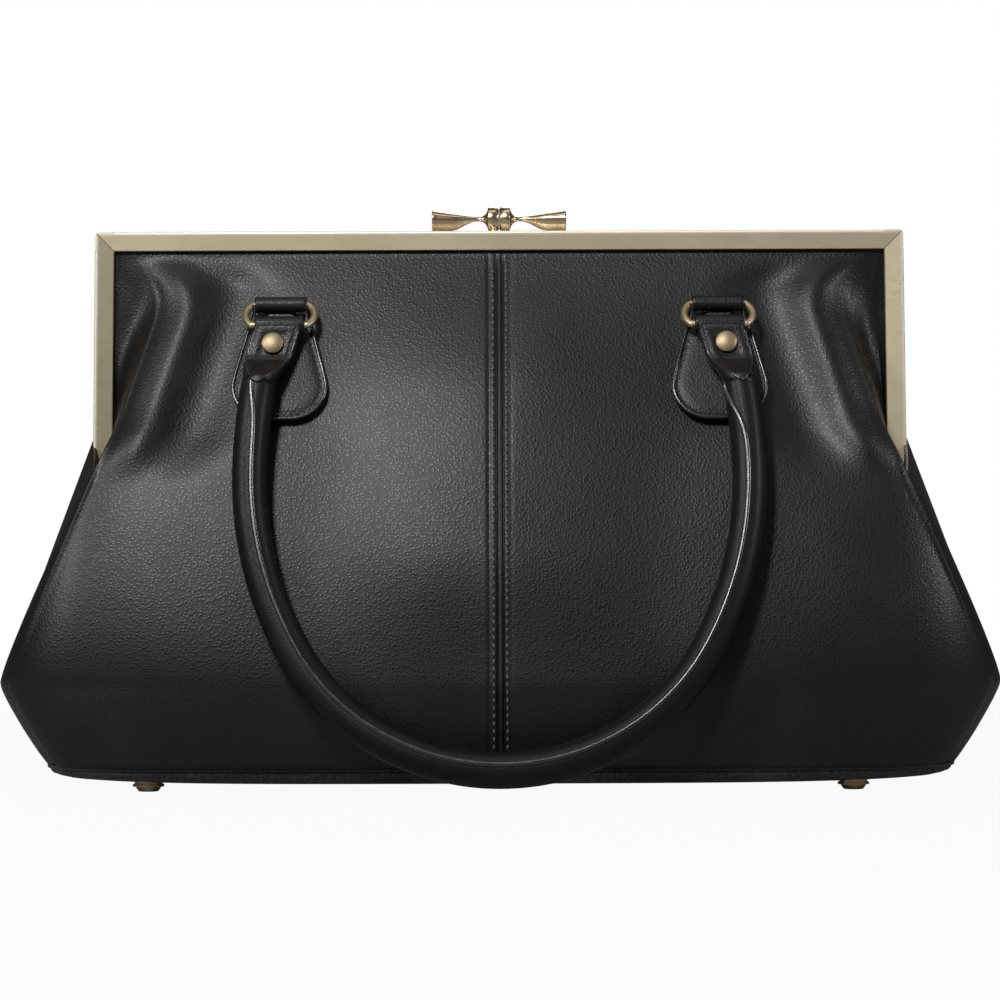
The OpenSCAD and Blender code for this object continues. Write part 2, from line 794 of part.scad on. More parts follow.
module tab_right() {
    in_handle_plane() difference() {
        union() {
            translate([ring_x - tab_roll_w / 2, 0, 0]) rotate([0, 90, 0])
                cylinder(r = tab_roll_r, h = tab_roll_w);
            translate([0, tab_t / 2, 0]) rotate([90, 0, 0]) linear_extrude(tab_t) polygon([
                [tab_x(0) - tab_roll_w / 2, 0], [tab_x(0) + tab_roll_w / 2, 0],
                [tab_x(13) + tab_roll_w / 2, -13], [tab_x(13) - tab_roll_w / 2, -13]
            ]);
            hull() {
                translate([tab_x(12.6) - tab_roll_w / 2, -tab_t / 2, -13])
                    cube([tab_roll_w, tab_t, 0.5]);
                translate([handle_end[0], -handle_offset, -handle_end_s]) rotate([0, -handle_end_lean, 0])
                    translate([0, 0, eps]) cylinder(r = handle_d / 2, h = 0.5, $fn = 32);
            }
        }
        translate([ring_x - tab_roll_w, 0, 0]) rotate([0, 90, 0]) cylinder(r = bore_r, h = 2 * tab_roll_w);
        translate([tab_x(rivet_s), tab_t, -rivet_s]) rotate([90, 0, 0])
            cylinder(r = rivet_shank_r + run_gap, h = 3 * tab_t);
    }
}

module front_handle_tab_right() color(black) tab_right();
module front_handle_tab_left() color(black) left() tab_right();
module back_handle_tab_right() color(black) back() tab_right();
module back_handle_tab_left() color(black) back() left() tab_right();

// A domed rivet through each tab, with a flat cap behind
rivet_shank_r = 1.2;
rivet_rise = 1.5;
rivet_dome_r = (rivet_r * rivet_r + rivet_rise * rivet_rise) / (2 * rivet_rise);

module rivet_right() {
    in_handle_plane() translate([tab_x(rivet_s), -tab_t / 2, -rivet_s]) rotate([90, 0, 0]) {
        translate([0, 0, -tab_t - 0.5]) cylinder(r = rivet_shank_r, h = tab_t + 0.6);
        translate([0, 0, -tab_t - 0.9]) cylinder(r = rivet_r - 0.9, h = 0.9);
        intersection() {
            translate([0, 0, rivet_rise - rivet_dome_r]) sphere(rivet_dome_r, $fn = 96);
            cylinder(r = rivet_r, h = rivet_rise);
        }
    }
}

module handle_rivets() {
    rivet_right();
    left() rivet_right();
}

module front_handle_rivets() color(pale_brass) handle_rivets();
module back_handle_rivets() color(pale_brass) back() handle_rivets();

base_panel();
base_board();
base_welt();
feet();
foot_washers();
hinge_pins();
front_panel_left();
front_panel_right();
back_panel_left();
back_panel_right();
lining_tub();
front_frame_rail();
back_frame_rail();
front_clasp_half();
back_clasp_half();
front_yoke_left();
front_yoke_right();
back_yoke_left();
back_yoke_right();
front_lining();
back_lining();
front_board();
back_board();
front_frame_cord();
back_frame_cord();
front_chape_left();
front_chape_right();
back_chape_left();
back_chape_right();
front_ring_left();
front_ring_right();
back_ring_left();
back_ring_right();
front_handle_cover();
front_handle_core();
front_handle_tab_left();
front_handle_tab_right();
front_handle_rivets();
back_handle_cover();
back_handle_core();
back_handle_tab_left();
back_handle_tab_right();
back_handle_rivets();
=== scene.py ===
# Frame handbag of pebbled black leather, with a satin brass frame, a bow shaped clasp and two rolled
# handles. Metres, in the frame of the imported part: the front faces -Y and the ground is z = 0.

import math
import bmesh
import bpy
from mathutils import Matrix, Vector, noise


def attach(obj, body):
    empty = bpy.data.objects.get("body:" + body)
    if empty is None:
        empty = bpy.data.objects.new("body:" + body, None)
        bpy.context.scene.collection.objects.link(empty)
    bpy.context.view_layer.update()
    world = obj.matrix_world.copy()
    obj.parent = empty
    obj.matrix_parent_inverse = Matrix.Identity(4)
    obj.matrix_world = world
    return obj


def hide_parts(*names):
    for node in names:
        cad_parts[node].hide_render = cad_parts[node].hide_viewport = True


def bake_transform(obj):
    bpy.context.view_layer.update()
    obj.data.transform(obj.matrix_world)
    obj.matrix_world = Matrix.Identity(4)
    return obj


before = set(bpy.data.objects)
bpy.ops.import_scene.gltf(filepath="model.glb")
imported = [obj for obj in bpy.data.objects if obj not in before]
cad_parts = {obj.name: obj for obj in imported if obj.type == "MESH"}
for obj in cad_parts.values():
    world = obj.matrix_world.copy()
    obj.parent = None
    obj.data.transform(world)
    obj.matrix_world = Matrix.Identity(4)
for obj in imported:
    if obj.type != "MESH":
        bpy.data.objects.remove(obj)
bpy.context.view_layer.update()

MM = 0.001

# Camera: a long lens in front of the bag at half its height, as the picture was taken.
# The picture is square and its middle looks at the front of the handles.
def add_object(name, data):
    made = bpy.data.objects.new(name, data)
    bpy.context.scene.collection.objects.link(made)
    return made


camera = add_object("camera", bpy.data.cameras.new("camera"))
camera_distance = 1.5
camera_height = 0.1127
camera_roll = math.radians(0.2)
camera.data.lens = 135
camera.data.sensor_width = 36
camera.location = (0, -camera_distance, camera_height)
camera.rotation_euler = (math.pi / 2, camera_roll, 0)
camera.data.clip_start = 0.05
bpy.context.scene.camera = camera
bpy.context.scene.view_settings.view_transform = "Standard"


class Wire:
    """A socket in a material's nodes. Sums and products of wires add their own Math nodes."""

    def __init__(self, tree, socket):
        self.tree = tree
        self.socket = socket

    def node(self, kind, settings=(), out=0, **inputs):
        """Adds a node, sets it up, then fills its sockets, named in words joined by underscores."""
        made = self.tree.nodes.new(kind)
        for name, value in dict(settings).items():
            if name == "stops":
                ramp = made.color_ramp
                while len(ramp.elements) < len(value):
                    ramp.elements.new(0.5)
                for element, (place, colour) in zip(ramp.elements, value):
                    element.position = place
                    element.color = (*colour, 1)
            else:
                setattr(made, name, value)
        for name, value in inputs.items():
            wanted = name.replace("_", " ")
            if wanted.startswith("in "):
                target = made.inputs[int(wanted[3:])]
            else:
                target = next(s for s in made.inputs if s.name == wanted and s.enabled)
            if isinstance(value, Wire):
                self.tree.links.new(value.socket, target)
            else:
                target.default_value = value
        return Wire(self.tree, made.outputs[out])

    def math(self, operation, other=0.0, swap=False):
        first, second = (other, self) if swap else (self, other)
        return self.node("ShaderNodeMath", {"operation": operation}, in_0=first, in_1=second)

    def __add__(self, other):
        return self.math("ADD", other)

    def __sub__(self, other):
        return self.math("SUBTRACT", other)

    def __mul__(self, other):
        return self.math("MULTIPLY", other)

    def __rsub__(self, other):
        return self.math("SUBTRACT", other, swap=True)

    __radd__ = __add__
    __rmul__ = __mul__

    def grain(self, scale, detail=2.0, roughness=0.5, out=0):
        """Noise read at this place."""
        return self.node("ShaderNodeTexNoise", out=out, Vector=self, Scale=scale, Detail=detail,
                         Roughness=roughness)

    def axis(self, number):
        """The X, Y or Z of this place."""
        return self.node("ShaderNodeSeparateXYZ", out=number, Vector=self)

    def ramp(self, low, high, to_low=0.0, to_high=1.0):
        """Runs smoothly from to_low to to_high while this wire goes from low to high."""
        return self.node("ShaderNodeMapRange", {"interpolation_type": "SMOOTHSTEP"}, Value=self,
                         From_Min=low, From_Max=high, To_Min=to_low, To_Max=to_high)

    def mix(self, first, second):
        """Mixes two colours, with this wire as the factor."""
        made = self.tree.nodes.new("ShaderNodeMix")
        made.data_type = "RGBA"
        self.tree.links.new(self.socket, made.inputs["Factor"])
        for target, value in ((made.inputs[6], first), (made.inputs[7], second)):
            if isinstance(value, Wire):
                self.tree.links.new(value.socket, target)
            else:
                target.default_value = (*value, 1)
        return Wire(self.tree, made.outputs[2])


def start_material(name, **constants):
    """A new material: its Principled shader with fixed values set, and a wire from its Object coordinates."""
    material = bpy.data.materials.new(name)
    material.use_nodes = True
    tree = material.node_tree
    shader = tree.nodes["Principled BSDF"]
    for socket, value in constants.items():
        shader.inputs[socket.replace("_", " ")].default_value = value
    place = Wire(tree, tree.nodes.new("ShaderNodeTexCoord").outputs["Object"])
    return material, shader, place


def feed(shader, **wires):
    """Links wires to a shader's sockets, or sets a fixed value or colour there."""
    for name, wire in wires.items():
        socket = shader.inputs[name.replace("_", " ")]
        if isinstance(wire, Wire):
            wire.tree.links.new(wire.socket, socket)
        else:
            socket.default_value = wire
    return shader


# Floor and light: a pale floor and an empty white background. A small strong light stands high in front on
# the left, with weaker ones above, on both sides and behind, and a very weak one straight in front.
def by_ray(tree, seen, glossy):
    """How bright it is for the camera, for glossy rays, and for rays that pass through."""
    rays = tree.nodes.new("ShaderNodeLightPath").outputs
    return (Wire(tree, rays["Is Camera Ray"]) * seen + Wire(tree, rays["Is Glossy Ray"]) * glossy
            + Wire(tree, rays["Is Transmission Ray"]) * 0.5)


floor_mesh = bmesh.new()
bmesh.ops.create_grid(floor_mesh, x_segments=1, y_segments=1, size=3)
floor_data = bpy.data.meshes.new("floor")
floor_mesh.to_mesh(floor_data)
floor = add_object("floor", floor_data)
floor_material, floor_shader, floor_place = start_material("pale_floor", Roughness=0.9,
                                                           Specular_IOR_Level=0.0)
floor_shader.inputs["Base Color"].default_value = (0.3, 0.3, 0.3, 1)
floor_away = floor_place.node("ShaderNodeVectorMath", {"operation": "LENGTH"}, in_0=floor_place, out=1)
floor_seen = by_ray(floor_place.tree, floor_away.ramp(0.45, 1.2, 0.94, 1.0), 0.04)
floor_glow = floor_place.node("ShaderNodeEmission", Color=(1, 1, 1, 1), Strength=1.0)
floor_mix = floor_place.node("ShaderNodeMixShader", in_0=floor_seen,
                             in_1=Wire(floor_place.tree, floor_shader.outputs[0]), in_2=floor_glow)
floor_place.tree.links.new(floor_mix.socket, floor_place.tree.nodes["Material Output"].inputs["Surface"])
floor_data.materials.append(floor_material)

world = bpy.data.worlds.new("studio")
world.use_nodes = True
bpy.context.scene.world = world
world_seen = by_ray(world.node_tree, 1.0, 0.02)
world_soft = world_seen.node("ShaderNodeBackground", Color=(1, 1, 1, 1), Strength=0.05)
world_white = world_seen.node("ShaderNodeBackground", Color=(1, 1, 1, 1), Strength=1.0)
world_mix = world_seen.node("ShaderNodeMixShader", in_0=world_seen, in_1=world_soft, in_2=world_white)
world.node_tree.links.new(world_mix.socket, world.node_tree.nodes["World Output"].inputs["Surface"])


def soft_light(name, place, aim, width, height, power):
    lamp = bpy.data.lights.new(name, "AREA")
    lamp.shape = "RECTANGLE"
    lamp.size = width
    lamp.size_y = height
    lamp.energy = power
    holder = add_object(name, lamp)
    holder.location = place
    holder.rotation_euler = (Vector(aim) - Vector(place)).to_track_quat("-Z", "Y").to_euler()


soft_light("key_light", (-0.42, -1.2, 1.12), (-0.03, 0, 0.14), 0.25, 0.3, 17)
soft_light("top_light", (0.05, -0.2, 1.4), (0, 0, 0.12), 1.0, 0.4, 2)
soft_light("left_light", (-1.1, -0.8, 0.75), (-0.1, 0, 0.1), 0.2, 0.4, 8)
soft_light("right_light", (1.2, -0.6, 0.7), (0, 0, 0.1), 0.2, 0.4, 5.5)
soft_light("front_light", (0.1, -2.3, 0.35), (0, 0, 0.15), 1.3, 0.6, 0.08)
soft_light("back_light", (0.2, 1.2, 1.0), (0, 0, 0.12), 0.8, 0.5, 5)

# Leather walls: four quarters of pebbled black leather, sewn together down the middle of the front and back
# and down the sides. Each runs from the base seam up into the frame's channel. Beside the frame's arms the
# leather folds back to reach them, and below the hinges it passes outside them.
body_half_width = 199.0 * MM
body_half_depth = 62.0 * MM
widest_height = 41.0 * MM
base_half_width = 174.0 * MM
base_half_depth = 57.0 * MM
base_seam_height = 9.2 * MM
split_height = 123.0 * MM
shoulder_height = 128.0 * MM
frame_half_width = 161.0 * MM
frame_top = 220.0 * MM
frame_face = 8.0 * MM
arm_inner_x = frame_half_width - frame_face
channel_depth = 5.1 * MM
channel_mouth = frame_top - frame_face - 1.0 * MM
leather_top = frame_top - 2.6 * MM
leather_thickness = 1.5 * MM
hood_height = 137.0 * MM
fold_line = [(123.0, 158.9), (132.0, 155.3), (142.5, 150.3), (158.0, 145.3), (170.0, 141.5), (179.0, 138.6),
             (184.5, 136.9), (189.0, 136.0), (193.0, 136.0), (197.0, 137.0), (201.5, 139.2), (207.0, 143.0),
             (212.0, 147.0)]
seam_columns = [0.0, 0.2, 0.4, 0.65, 0.9, 1.15, 1.4, 1.7, 2.1, 2.6, 3.1, 3.6, 4.1, 4.6, 5.3, 6.2]


def clamp(value, low=0.0, high=1.0):
    return min(max(value, low), high)


def ease(value):
    value = clamp(value)
    return value * value * (3 - 2 * value)


def hump(away, width):
    """A smooth hump: 1 in its middle, and falling away on both sides over its width."""
    return math.exp(-(away / width) ** 2)


def wall_depth(z):
    """Distance of the leather's face from the middle plane at the centre seam."""
    if z <= widest_height:
        low = (widest_height - z) / widest_height
        return base_half_depth + (body_half_depth - base_half_depth) * (1 - low * low)
    rise = clamp((z - widest_height) / (channel_mouth - widest_height))
    return channel_depth + (body_half_depth - channel_depth) * (1 - rise ** 1.35)


def side_reach(z):
    """Half width of the body at the side seam."""
    if z <= widest_height:
        rise = clamp((z - 4.9 * MM) / (widest_height - 4.9 * MM))
        return base_half_width + (body_half_width - base_half_width) * rise ** 0.8 - 0.9 * MM * rise ** 12
    top_reach = frame_half_width + 5.2 * MM
    corner = 0.9 * MM * math.exp(-(z - widest_height) / (4 * MM))
    slope = (body_half_width - top_reach) / (shoulder_height - widest_height)
    return body_half_width - (z - widest_height) * slope - corner


def corner_power(z):
    if z <= widest_height:
        return 5 - clamp((z - 4.9 * MM) / (widest_height - 4.9 * MM))
    return 4 + 5 * clamp((z - widest_height) / (shoulder_height - widest_height))


def read_off(rows, value):
    """The second number of the rows at a value of the first, in straight steps between them."""
    for (low, start), (high, end) in zip(rows, rows[1:]):
        if value <= high:
            return start + (end - start) * (value - low) / (high - low)
    return rows[-1][1]


def fold_reach(z):
    """Where the upper leather folds back towards the arm, read off the fold line."""
    if z <= split_height:
        return side_reach(z) - 9.2 * MM + 2.9 * MM * clamp((split_height - z) / (80 * MM))
    return read_off(fold_line, z / MM) * MM


def face_depth(x, z):
    """Depth of the front leather at x, between the centre seam and the fold."""
    low_z = min(z, shoulder_height)
    power = corner_power(low_z)
    inside = clamp(x / side_reach(low_z), 0, 0.999)
    round_drop = 1 - (1 - inside ** power) ** (1 / power)
    flat_drop = 0.13 * (x / fold_reach(z)) ** 4
    upper = ease((z - shoulder_height) / (24 * MM))
    depth = wall_depth(z) * (1 - (1 - upper) * round_drop - upper * flat_drop)
    swell = (1 - ease(x / (75 * MM))) * ease((z - 45 * MM) / (50 * MM)) * ease((205 * MM - z) / (50 * MM))
    return max(depth + 4.0 * MM * swell, channel_depth)


def wrinkle(x, z, side):
    """Small hollows and swells of worn leather: slow waves everywhere, puckers beside the top corners."""
    slow = noise.noise(Vector((x * 14, z * 10, side * 3.1))) * 0.9 * MM
    slow += noise.noise(Vector((x * 33, z * 22, side * 7.7))) * 0.35 * MM
    into_frame = ease((channel_mouth - z) / (30 * MM))
    near_fold = hump(x - fold_reach(z) + 12 * MM, 16 * MM)
    near_top = ease((z - 150 * MM) / (40 * MM))
    pucker = math.sin((x + 0.35 * z) / (6.0 * MM) + side) * 0.4 * MM * near_fold * near_top
    return (slow + pucker) * into_frame * ease((z - base_seam_height) / (20 * MM)) * ease(x / (10 * MM))


def seam_relief(x, side):
    """The centre seam: two lips that meet in a fine ridge, and a groove on each side of the stitches."""
    lip = hump(x, 0.6 * MM) * 0.3 * MM
    groove = hump(x - 1.3 * MM, 0.36 * MM) * 1.1 * MM
    outer_depth = 0.1 if side % 2 else 0.45
    outer = hump(x - 4.2 * MM, 0.6 * MM) * outer_depth * MM
    return lip - groove - outer


def fold_roll(x, z):
    """Beside the fold the leather swells into a soft roll, with a hollow before it and a drop at its edge."""
    away = (fold_reach(z) - x) / MM
    roll = 3.2 * hump(away - 12, 8) - 2.6 * hump(away - 33, 12)
    edge = -1.5 * hump(away, 3)
    pinch_range = ease((z - 42 * MM) / (25 * MM)) * ease((145 * MM - z) / (25 * MM))
    pinch = 1.2 * hump(away, 1.2) * pinch_range
    roll_range = ease((z - 118 * MM) / (22 * MM)) * ease((channel_mouth - z) / (14 * MM))
    return ((roll + edge) * roll_range + pinch) * MM


def grid_sheet(mesh, columns, rows, place):
    """A grid whose points are put in place by their column and row number."""
    made = bmesh.ops.create_grid(mesh, x_segments=columns, y_segments=rows, size=0.5)["verts"]
    for vert in made:
        column = round((vert.co.x + 0.5) * columns)
        row = round((vert.co.y + 0.5) * rows)
        vert.co = place(column, row)
    return made


face_columns = 62
face_rows = 104
split_row = 60
side_columns = 18
return_columns = 12


def row_height(row):
    """Rows are even up to the split, which is one of them, and even above it."""
    if row <= split_row:
        return base_seam_height + (split_height - base_seam_height) * row / split_row
    return split_height + (leather_top - split_height) * (row - split_row) / (face_rows - split_row)


def face_column_x(column, z):
    fixed = len(seam_columns) - 1
    if column <= fixed:
        return seam_columns[column] * MM
    share = (column - fixed) / (face_columns - fixed)
    start = seam_columns[-1] * MM
    return start + (fold_reach(z) - start) * (1 - (1 - share) ** 1.5)


def worn_depth(x, z, side):
    """Depth of the front leather with its roll, swells and wrinkles, but without the seam's relief."""
    return max(face_depth(x, z) + fold_roll(x, z) + wrinkle(x, z, side), channel_depth)


def face_point(column, row, side, seam=1.0):
    z = row_height(row)
    x = face_column_x(column, z)
    relief = seam * seam_relief(x, side) * ease((channel_mouth - z) / (4 * MM))
    return Vector((x, -worn_depth(x, z, side) - relief, z))


def side_point(column, row, side):
    """From the ridge round to the side seam, below the hinge. The top edge rises to the hood."""
    z = row_height(row)
    start = face_point(face_columns, row, side)
    share = column / side_columns
    power = corner_power(z)
    depth = -start.y * (1 - share)
    reach = side_reach(z) * (1 - clamp(depth / wall_depth(z), 0, 0.999) ** power) ** (1 / power)
    first = hump(share * side_columns, 2.0)
    reach += (start.x - reach) * first if column else start.x - reach
    straight = start.x + (side_reach(z) - start.x) * share
    reach += (straight - reach) * clamp((z - widest_height) / (split_height - widest_height))
    reach += noise.noise(Vector((depth * 25, z * 18, 9 + side))) * 0.6 * MM * share * (1 - share) * 4
    lift = (hood_height - split_height) * share * ease((z - (split_height - 34 * MM)) / (34 * MM))
    slope = (body_half_width - side_reach(split_height)) / (split_height - widest_height)
    return Vector((reach - slope * lift, -depth, z + lift))


def return_point(column, row, side):
    """From the fold back to the arm's channel, above the hinge."""
    z = row_height(row)
    start = face_point(face_columns, row, side)
    share = column / return_columns
    end_x = arm_inner_x + 4.0 * MM
    turn = clamp(share * 1.3)
    tucked = channel_depth - 0.4 * MM * ease((leather_top - z) / (6 * MM))
    depth = tucked + (-start.y - tucked) * (1 - turn) ** 1.7
    x = start.x + (end_x - start.x) * share ** 1.15
    hollow = math.sin(math.pi * share) * 1.2 * MM * noise.noise(Vector((share * 3, z * 45, side * 5)))
    return Vector((x, -depth - hollow * ease((channel_mouth - z) / (20 * MM)), z))


def finish_piece(name, mesh, *materials, recalc=True):
    """Turns a bmesh into a finished object with its materials, doubles merged and faces outwards."""
    bmesh.ops.remove_doubles(mesh, verts=mesh.verts, dist=1e-6)
    if recalc:
        bmesh.ops.recalc_face_normals(mesh, faces=mesh.faces)
    for face in mesh.faces:
        face.smooth = True
    data = bpy.data.meshes.new(name)
    mesh.to_mesh(data)
    mesh.free()
    for material in materials:
        data.materials.append(material)
    return add_object(name, data)


# Pebbled leather: rounded cells about a millimetre across with fine creases between them, which carry painted
# shade, and a slightly uneven semi-gloss. Walls, base, piping, tabs and handles each have their own gloss and
# tone, with finer cells on piping and handles; the lighter tones of the base and the piping are painted
# light.
def leather_material(name, cell=1.2, gloss=0.29, bump=1.0, shine=0.35, tone=(0.003, 0.003, 0.0031)):
    material, shader, place = start_material(name, Specular_IOR_Level=shine, Coat_Roughness=0.3)
    frequency = 1 / (cell * MM)
    warped = place.grain(frequency * 0.45, out=1)
    shifted = place.node("ShaderNodeVectorMath", {"operation": "MULTIPLY_ADD"}, in_0=warped,
                         in_1=(0.35 * cell * MM,) * 3, in_2=place)
    cells = place.node("ShaderNodeTexVoronoi", {"feature": "F1"}, Vector=shifted, Scale=frequency,
                       Randomness=0.85)
    pebble = cells.ramp(0.1, 0.62, 1.0, 0.0)
    fine = place.grain(frequency * 2.4, 2.0, 0.6)
    slow = place.grain(26.0)
    height = pebble + fine * 0.25
    relief = place.node("ShaderNodeBump", Strength=bump, Distance=0.05 * cell * MM, Height=height)
    # Painted shade: the creases between the cells are painted darker than the domes.
    colour = pebble.ramp(0.05, 0.6).mix(tuple(c * 0.3 for c in tone), tone)
    worn = slow.ramp(0.5, 0.75).mix(colour, tuple(c * 1.25 for c in tone))
    roughness = gloss + slow * 0.05 + (1 - pebble) * 0.18
    feed(shader, Base_Color=worn, Roughness=roughness, Normal=relief,
         Coat_Weight=slow.ramp(0.2, 0.8, 0.02, 0.1))
    return material


wall_leather = leather_material("wall_leather")
side_numbers = {("front", "right"): 1, ("front", "left"): 2, ("back", "right"): 3, ("back", "left"): 4}


def placed(mesh, wall, half, place=None):
    """Sets a right front piece in its place, mirrors it to its own quarter and keeps its faces outwards."""
    if place is not None:
        bmesh.ops.transform(mesh, matrix=place, verts=mesh.verts)
    flips = Vector((-1 if half == "left" else 1, -1 if wall == "back" else 1, 1))
    bmesh.ops.scale(mesh, vec=flips, verts=mesh.verts)
    if flips.x * flips.y < 0:
        bmesh.ops.reverse_faces(mesh, faces=mesh.faces)


def bend_with_wall(piece):
    """Bakes the piece's place into its mesh."""
    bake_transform(piece)


def outward_faces(mesh):
    """Turns an open sheet so that its faces look away from the bag's middle."""
    bmesh.ops.recalc_face_normals(mesh, faces=mesh.faces)
    lean = sum(face.normal.y * face.calc_area() for face in mesh.faces)
    if lean > 0:
        bmesh.ops.reverse_faces(mesh, faces=mesh.faces)


def wall_quarter(mesh, number, seam=1.0, side_rows=split_row):
    """A quarter of the bag: its face, its side below the hinge and its return to the arm above it."""
    grid_sheet(mesh, face_columns, face_rows, lambda c, r: face_point(c, r, number, seam))
    grid_sheet(mesh, side_columns, side_rows, lambda c, r: side_point(c, r, number))
    upper_rows = face_rows - split_row
    grid_sheet(mesh, return_columns, upper_rows, lambda c, r: return_point(c, r + split_row, number))
    bmesh.ops.remove_doubles(mesh, verts=mesh.verts, dist=1e-5)
    outward_faces(mesh)


def thicken(piece, thickness):
    """Gives a sheet its thickness, inwards from its outer face."""
    thick = piece.modifiers.new("thickness", "SOLIDIFY")
    thick.thickness = thickness
    thick.offset = -1


for (wall, half), number in side_numbers.items():
    mesh = bmesh.new()
    wall_quarter(mesh, number)
    placed(mesh, wall, half)
    piece = finish_piece(f"{wall}_leather_{half}", mesh, wall_leather, recalc=False)
    thicken(piece, leather_thickness)
    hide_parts(f"{wall}_panel_{half}", f"{wall}_yoke_{half}")
    bend_with_wall(piece)

# Wall stitching: waxed black thread in two rows, one on each side of each centre seam. The thread stands a
# little proud of the leather.
def mottled(name, scale, dark, light, roughness, detail=2.0, **constants):
    """A material whose colour and roughness both follow one fine noise."""
    material, shader, place = start_material(name, **constants)
    spots = place.grain(scale, detail)
    feed(shader, Base_Color=spots.mix(dark, light), Roughness=spots.ramp(0.2, 0.8, *roughness))
    return material


thread_material = mottled("waxed_thread", 2600.0, (0.022, 0.022, 0.022), (0.07, 0.07, 0.068), (0.28, 0.5),
                          detail=1.0, Specular_IOR_Level=0.6)
stitch_pitch = 3.0 * MM
stitch_line_x = 2.6 * MM
stitch_proud = 0.3 * MM


def stitch_row(mesh, points, length=2.2 * MM, width=0.75 * MM):
    """One long bead of thread between each point and the next."""
    for start, end in zip(points, points[1:]):
        turn = (end - start).to_track_quat("X", "Z").to_matrix().to_4x4()
        bmesh.ops.create_uvsphere(mesh, u_segments=6, v_segments=4, radius=0.5,
                                  matrix=Matrix.Translation((start + end) / 2) @ turn
                                  @ Matrix.Diagonal((length, width, width * 0.8, 1)))


for wall in ("front", "back"):
    mesh = bmesh.new()
    for side in (-1, 1):
        rows = int((channel_mouth - 14 * MM - base_seam_height) / stitch_pitch)
        line = [base_seam_height + 4 * MM + row * stitch_pitch for row in range(rows + 3)]
        spots = [Vector((side * stitch_line_x, -face_depth(stitch_line_x, z) - stitch_proud, z))
                 for z in line]
        stitch_row(mesh, spots, 2.3 * MM, 1.0 * MM)
    placed(mesh, wall, "right")
    piece = finish_piece(f"{wall}_wall_stitching", mesh, thread_material)
    bend_with_wall(piece)

# Base: one piece of leather over a board, turned up at its edge and sewn to the walls, with piping in the
# seam. It sags a little between its four studs.
# The base leather's tone is far lighter than the walls': painted light on this shaded strip.
base_leather = leather_material("base_leather", bump=0.8, gloss=0.42, tone=(0.04, 0.04, 0.041))
base_rows = [(166.0, 50.0, 6.6), (176.0, 55.2, 7.0), (176.4, 55.6, 8.4), (177.2, 56.4, 8.8),
             (177.8, 57.0, 8.2), (177.6, 56.8, 7.4), (176.9, 56.1, 6.6), (174.6, 54.6, 5.8),
             (171.6, 52.8, 5.2), (167.0, 50.2, 4.9), (150.0, 42.0, 4.85), (125.0, 33.0, 4.7),
             (100.0, 27.0, 4.1), (75.0, 21.0, 3.3), (52.0, 15.0, 2.7), (30.0, 9.0, 2.35), (10.0, 3.0, 2.25)]
base_widest = base_rows[4][0]
base_power = 5
base_segments = 160
base_sag = 1.9


def skin(mesh, loops, closed=False, caps=True, material=0):
    """Skins a piece through rings: a circle takes the first and is extruded through the others."""
    if closed:
        loops = loops + loops[:1]
        caps = False
    count = len(loops[0])
    first = ring = list(bmesh.ops.create_circle(mesh, segments=count, radius=1)["verts"])
    for vert, place in zip(ring, loops[0]):
        vert.co = place
    for loop in loops[1:]:
        edges = [mesh.edges.get((ring[i], ring[(i + 1) % count])) for i in range(count)]
        grown = bmesh.ops.extrude_edge_only(mesh, edges=edges)["geom"]
        fresh = {item for item in grown if isinstance(item, bmesh.types.BMVert)}
        ring = [next(e.other_vert(v) for e in v.link_edges if e.other_vert(v) in fresh) for v in ring]
        for vert, place in zip(ring, loop):
            vert.co = place
        for item in grown:
            if isinstance(item, bmesh.types.BMFace):
                item.material_index = material
    if caps:
        for end in (first, ring):
            for item in bmesh.ops.contextual_create(mesh, geom=end)["faces"]:
                item.material_index = material


def oval_point(half_x, half_y, power, angle, z):
    """A point of a rounded rectangle, from its +X end round towards -Y."""
    c, s = math.cos(angle), math.sin(angle)
    r = (abs(c) ** power + abs(s) ** power) ** (-1 / power)
    return Vector((half_x * r * c, -half_y * r * s, z))


def turns(sides):
    """Even turns round a circle."""
    return [2 * math.pi * k / sides for k in range(sides)]


def base_ring(half_x, half_y, z):
    ring = [oval_point(half_x * MM, half_y * MM, base_power, turn, z * MM) for turn in turns(base_segments)]
    for point in ring:
        along = 1 - (point.x / base_widest / MM) ** 4
        point.z -= base_sag * MM * along * ease((half_y - 30) / 21) * clamp((8.2 - z) / 3.3)
    return ring


mesh = bmesh.new()
skin(mesh, [base_ring(*row) for row in base_rows])
piece = finish_piece("base_leather", mesh, base_leather)
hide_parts("base_panel")
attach(piece, "base")

# The piping's lighter tone is a painted highlight along the seam.
piping_leather = leather_material("piping_leather", cell=0.8, gloss=0.3, tone=(0.03,) * 3)
piping_points = 240
piping_height = base_seam_height - 0.1 * MM
piping_line = [oval_point(178.0 * MM, 57.1 * MM, base_power, turn, piping_height)
               for turn in turns(piping_points)]


def bead_ring(centre, along, radius, up=Vector((0, 0, 1)), sides=8):
    """A ring of points round a line that runs along the given direction."""
    across = along.cross(up).normalized()
    upright = across.cross(along).normalized()
    return [centre + radius * (math.cos(turn) * across + math.sin(turn) * upright) for turn in turns(sides)]


mesh = bmesh.new()
skin(mesh, [bead_ring(point, piping_line[(k + 1) % piping_points] - piping_line[k - 1], 1.0 * MM)
            for k, point in enumerate(piping_line)], closed=True)
piece = finish_piece("base_piping", mesh, piping_leather)
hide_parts("base_welt")
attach(piece, "base")


# Studs, washers and pins: turned brass, the studs antiqued, riveted through the base board over washers.
def metal(name, tone, shade, roughness, metallic=1.0, fineness=700.0):
    material, shader, place = start_material(name, Metallic=metallic)
    slow = place.grain(90.0, 3.0, 0.6)
    fine = place.grain(fineness)
    relief = place.node("ShaderNodeBump", Strength=0.1, Distance=0.02 * MM, Height=fine)
    feed(shader, Base_Color=slow.ramp(0.35, 0.65).mix(shade, tone), Roughness=roughness + fine * 0.08 - 0.04,
         Normal=relief)
    return material


def finish_node(name, material):
    """Gives a CAD node that shows as it is its material."""
    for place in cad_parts[name].material_slots:
        place.material = material


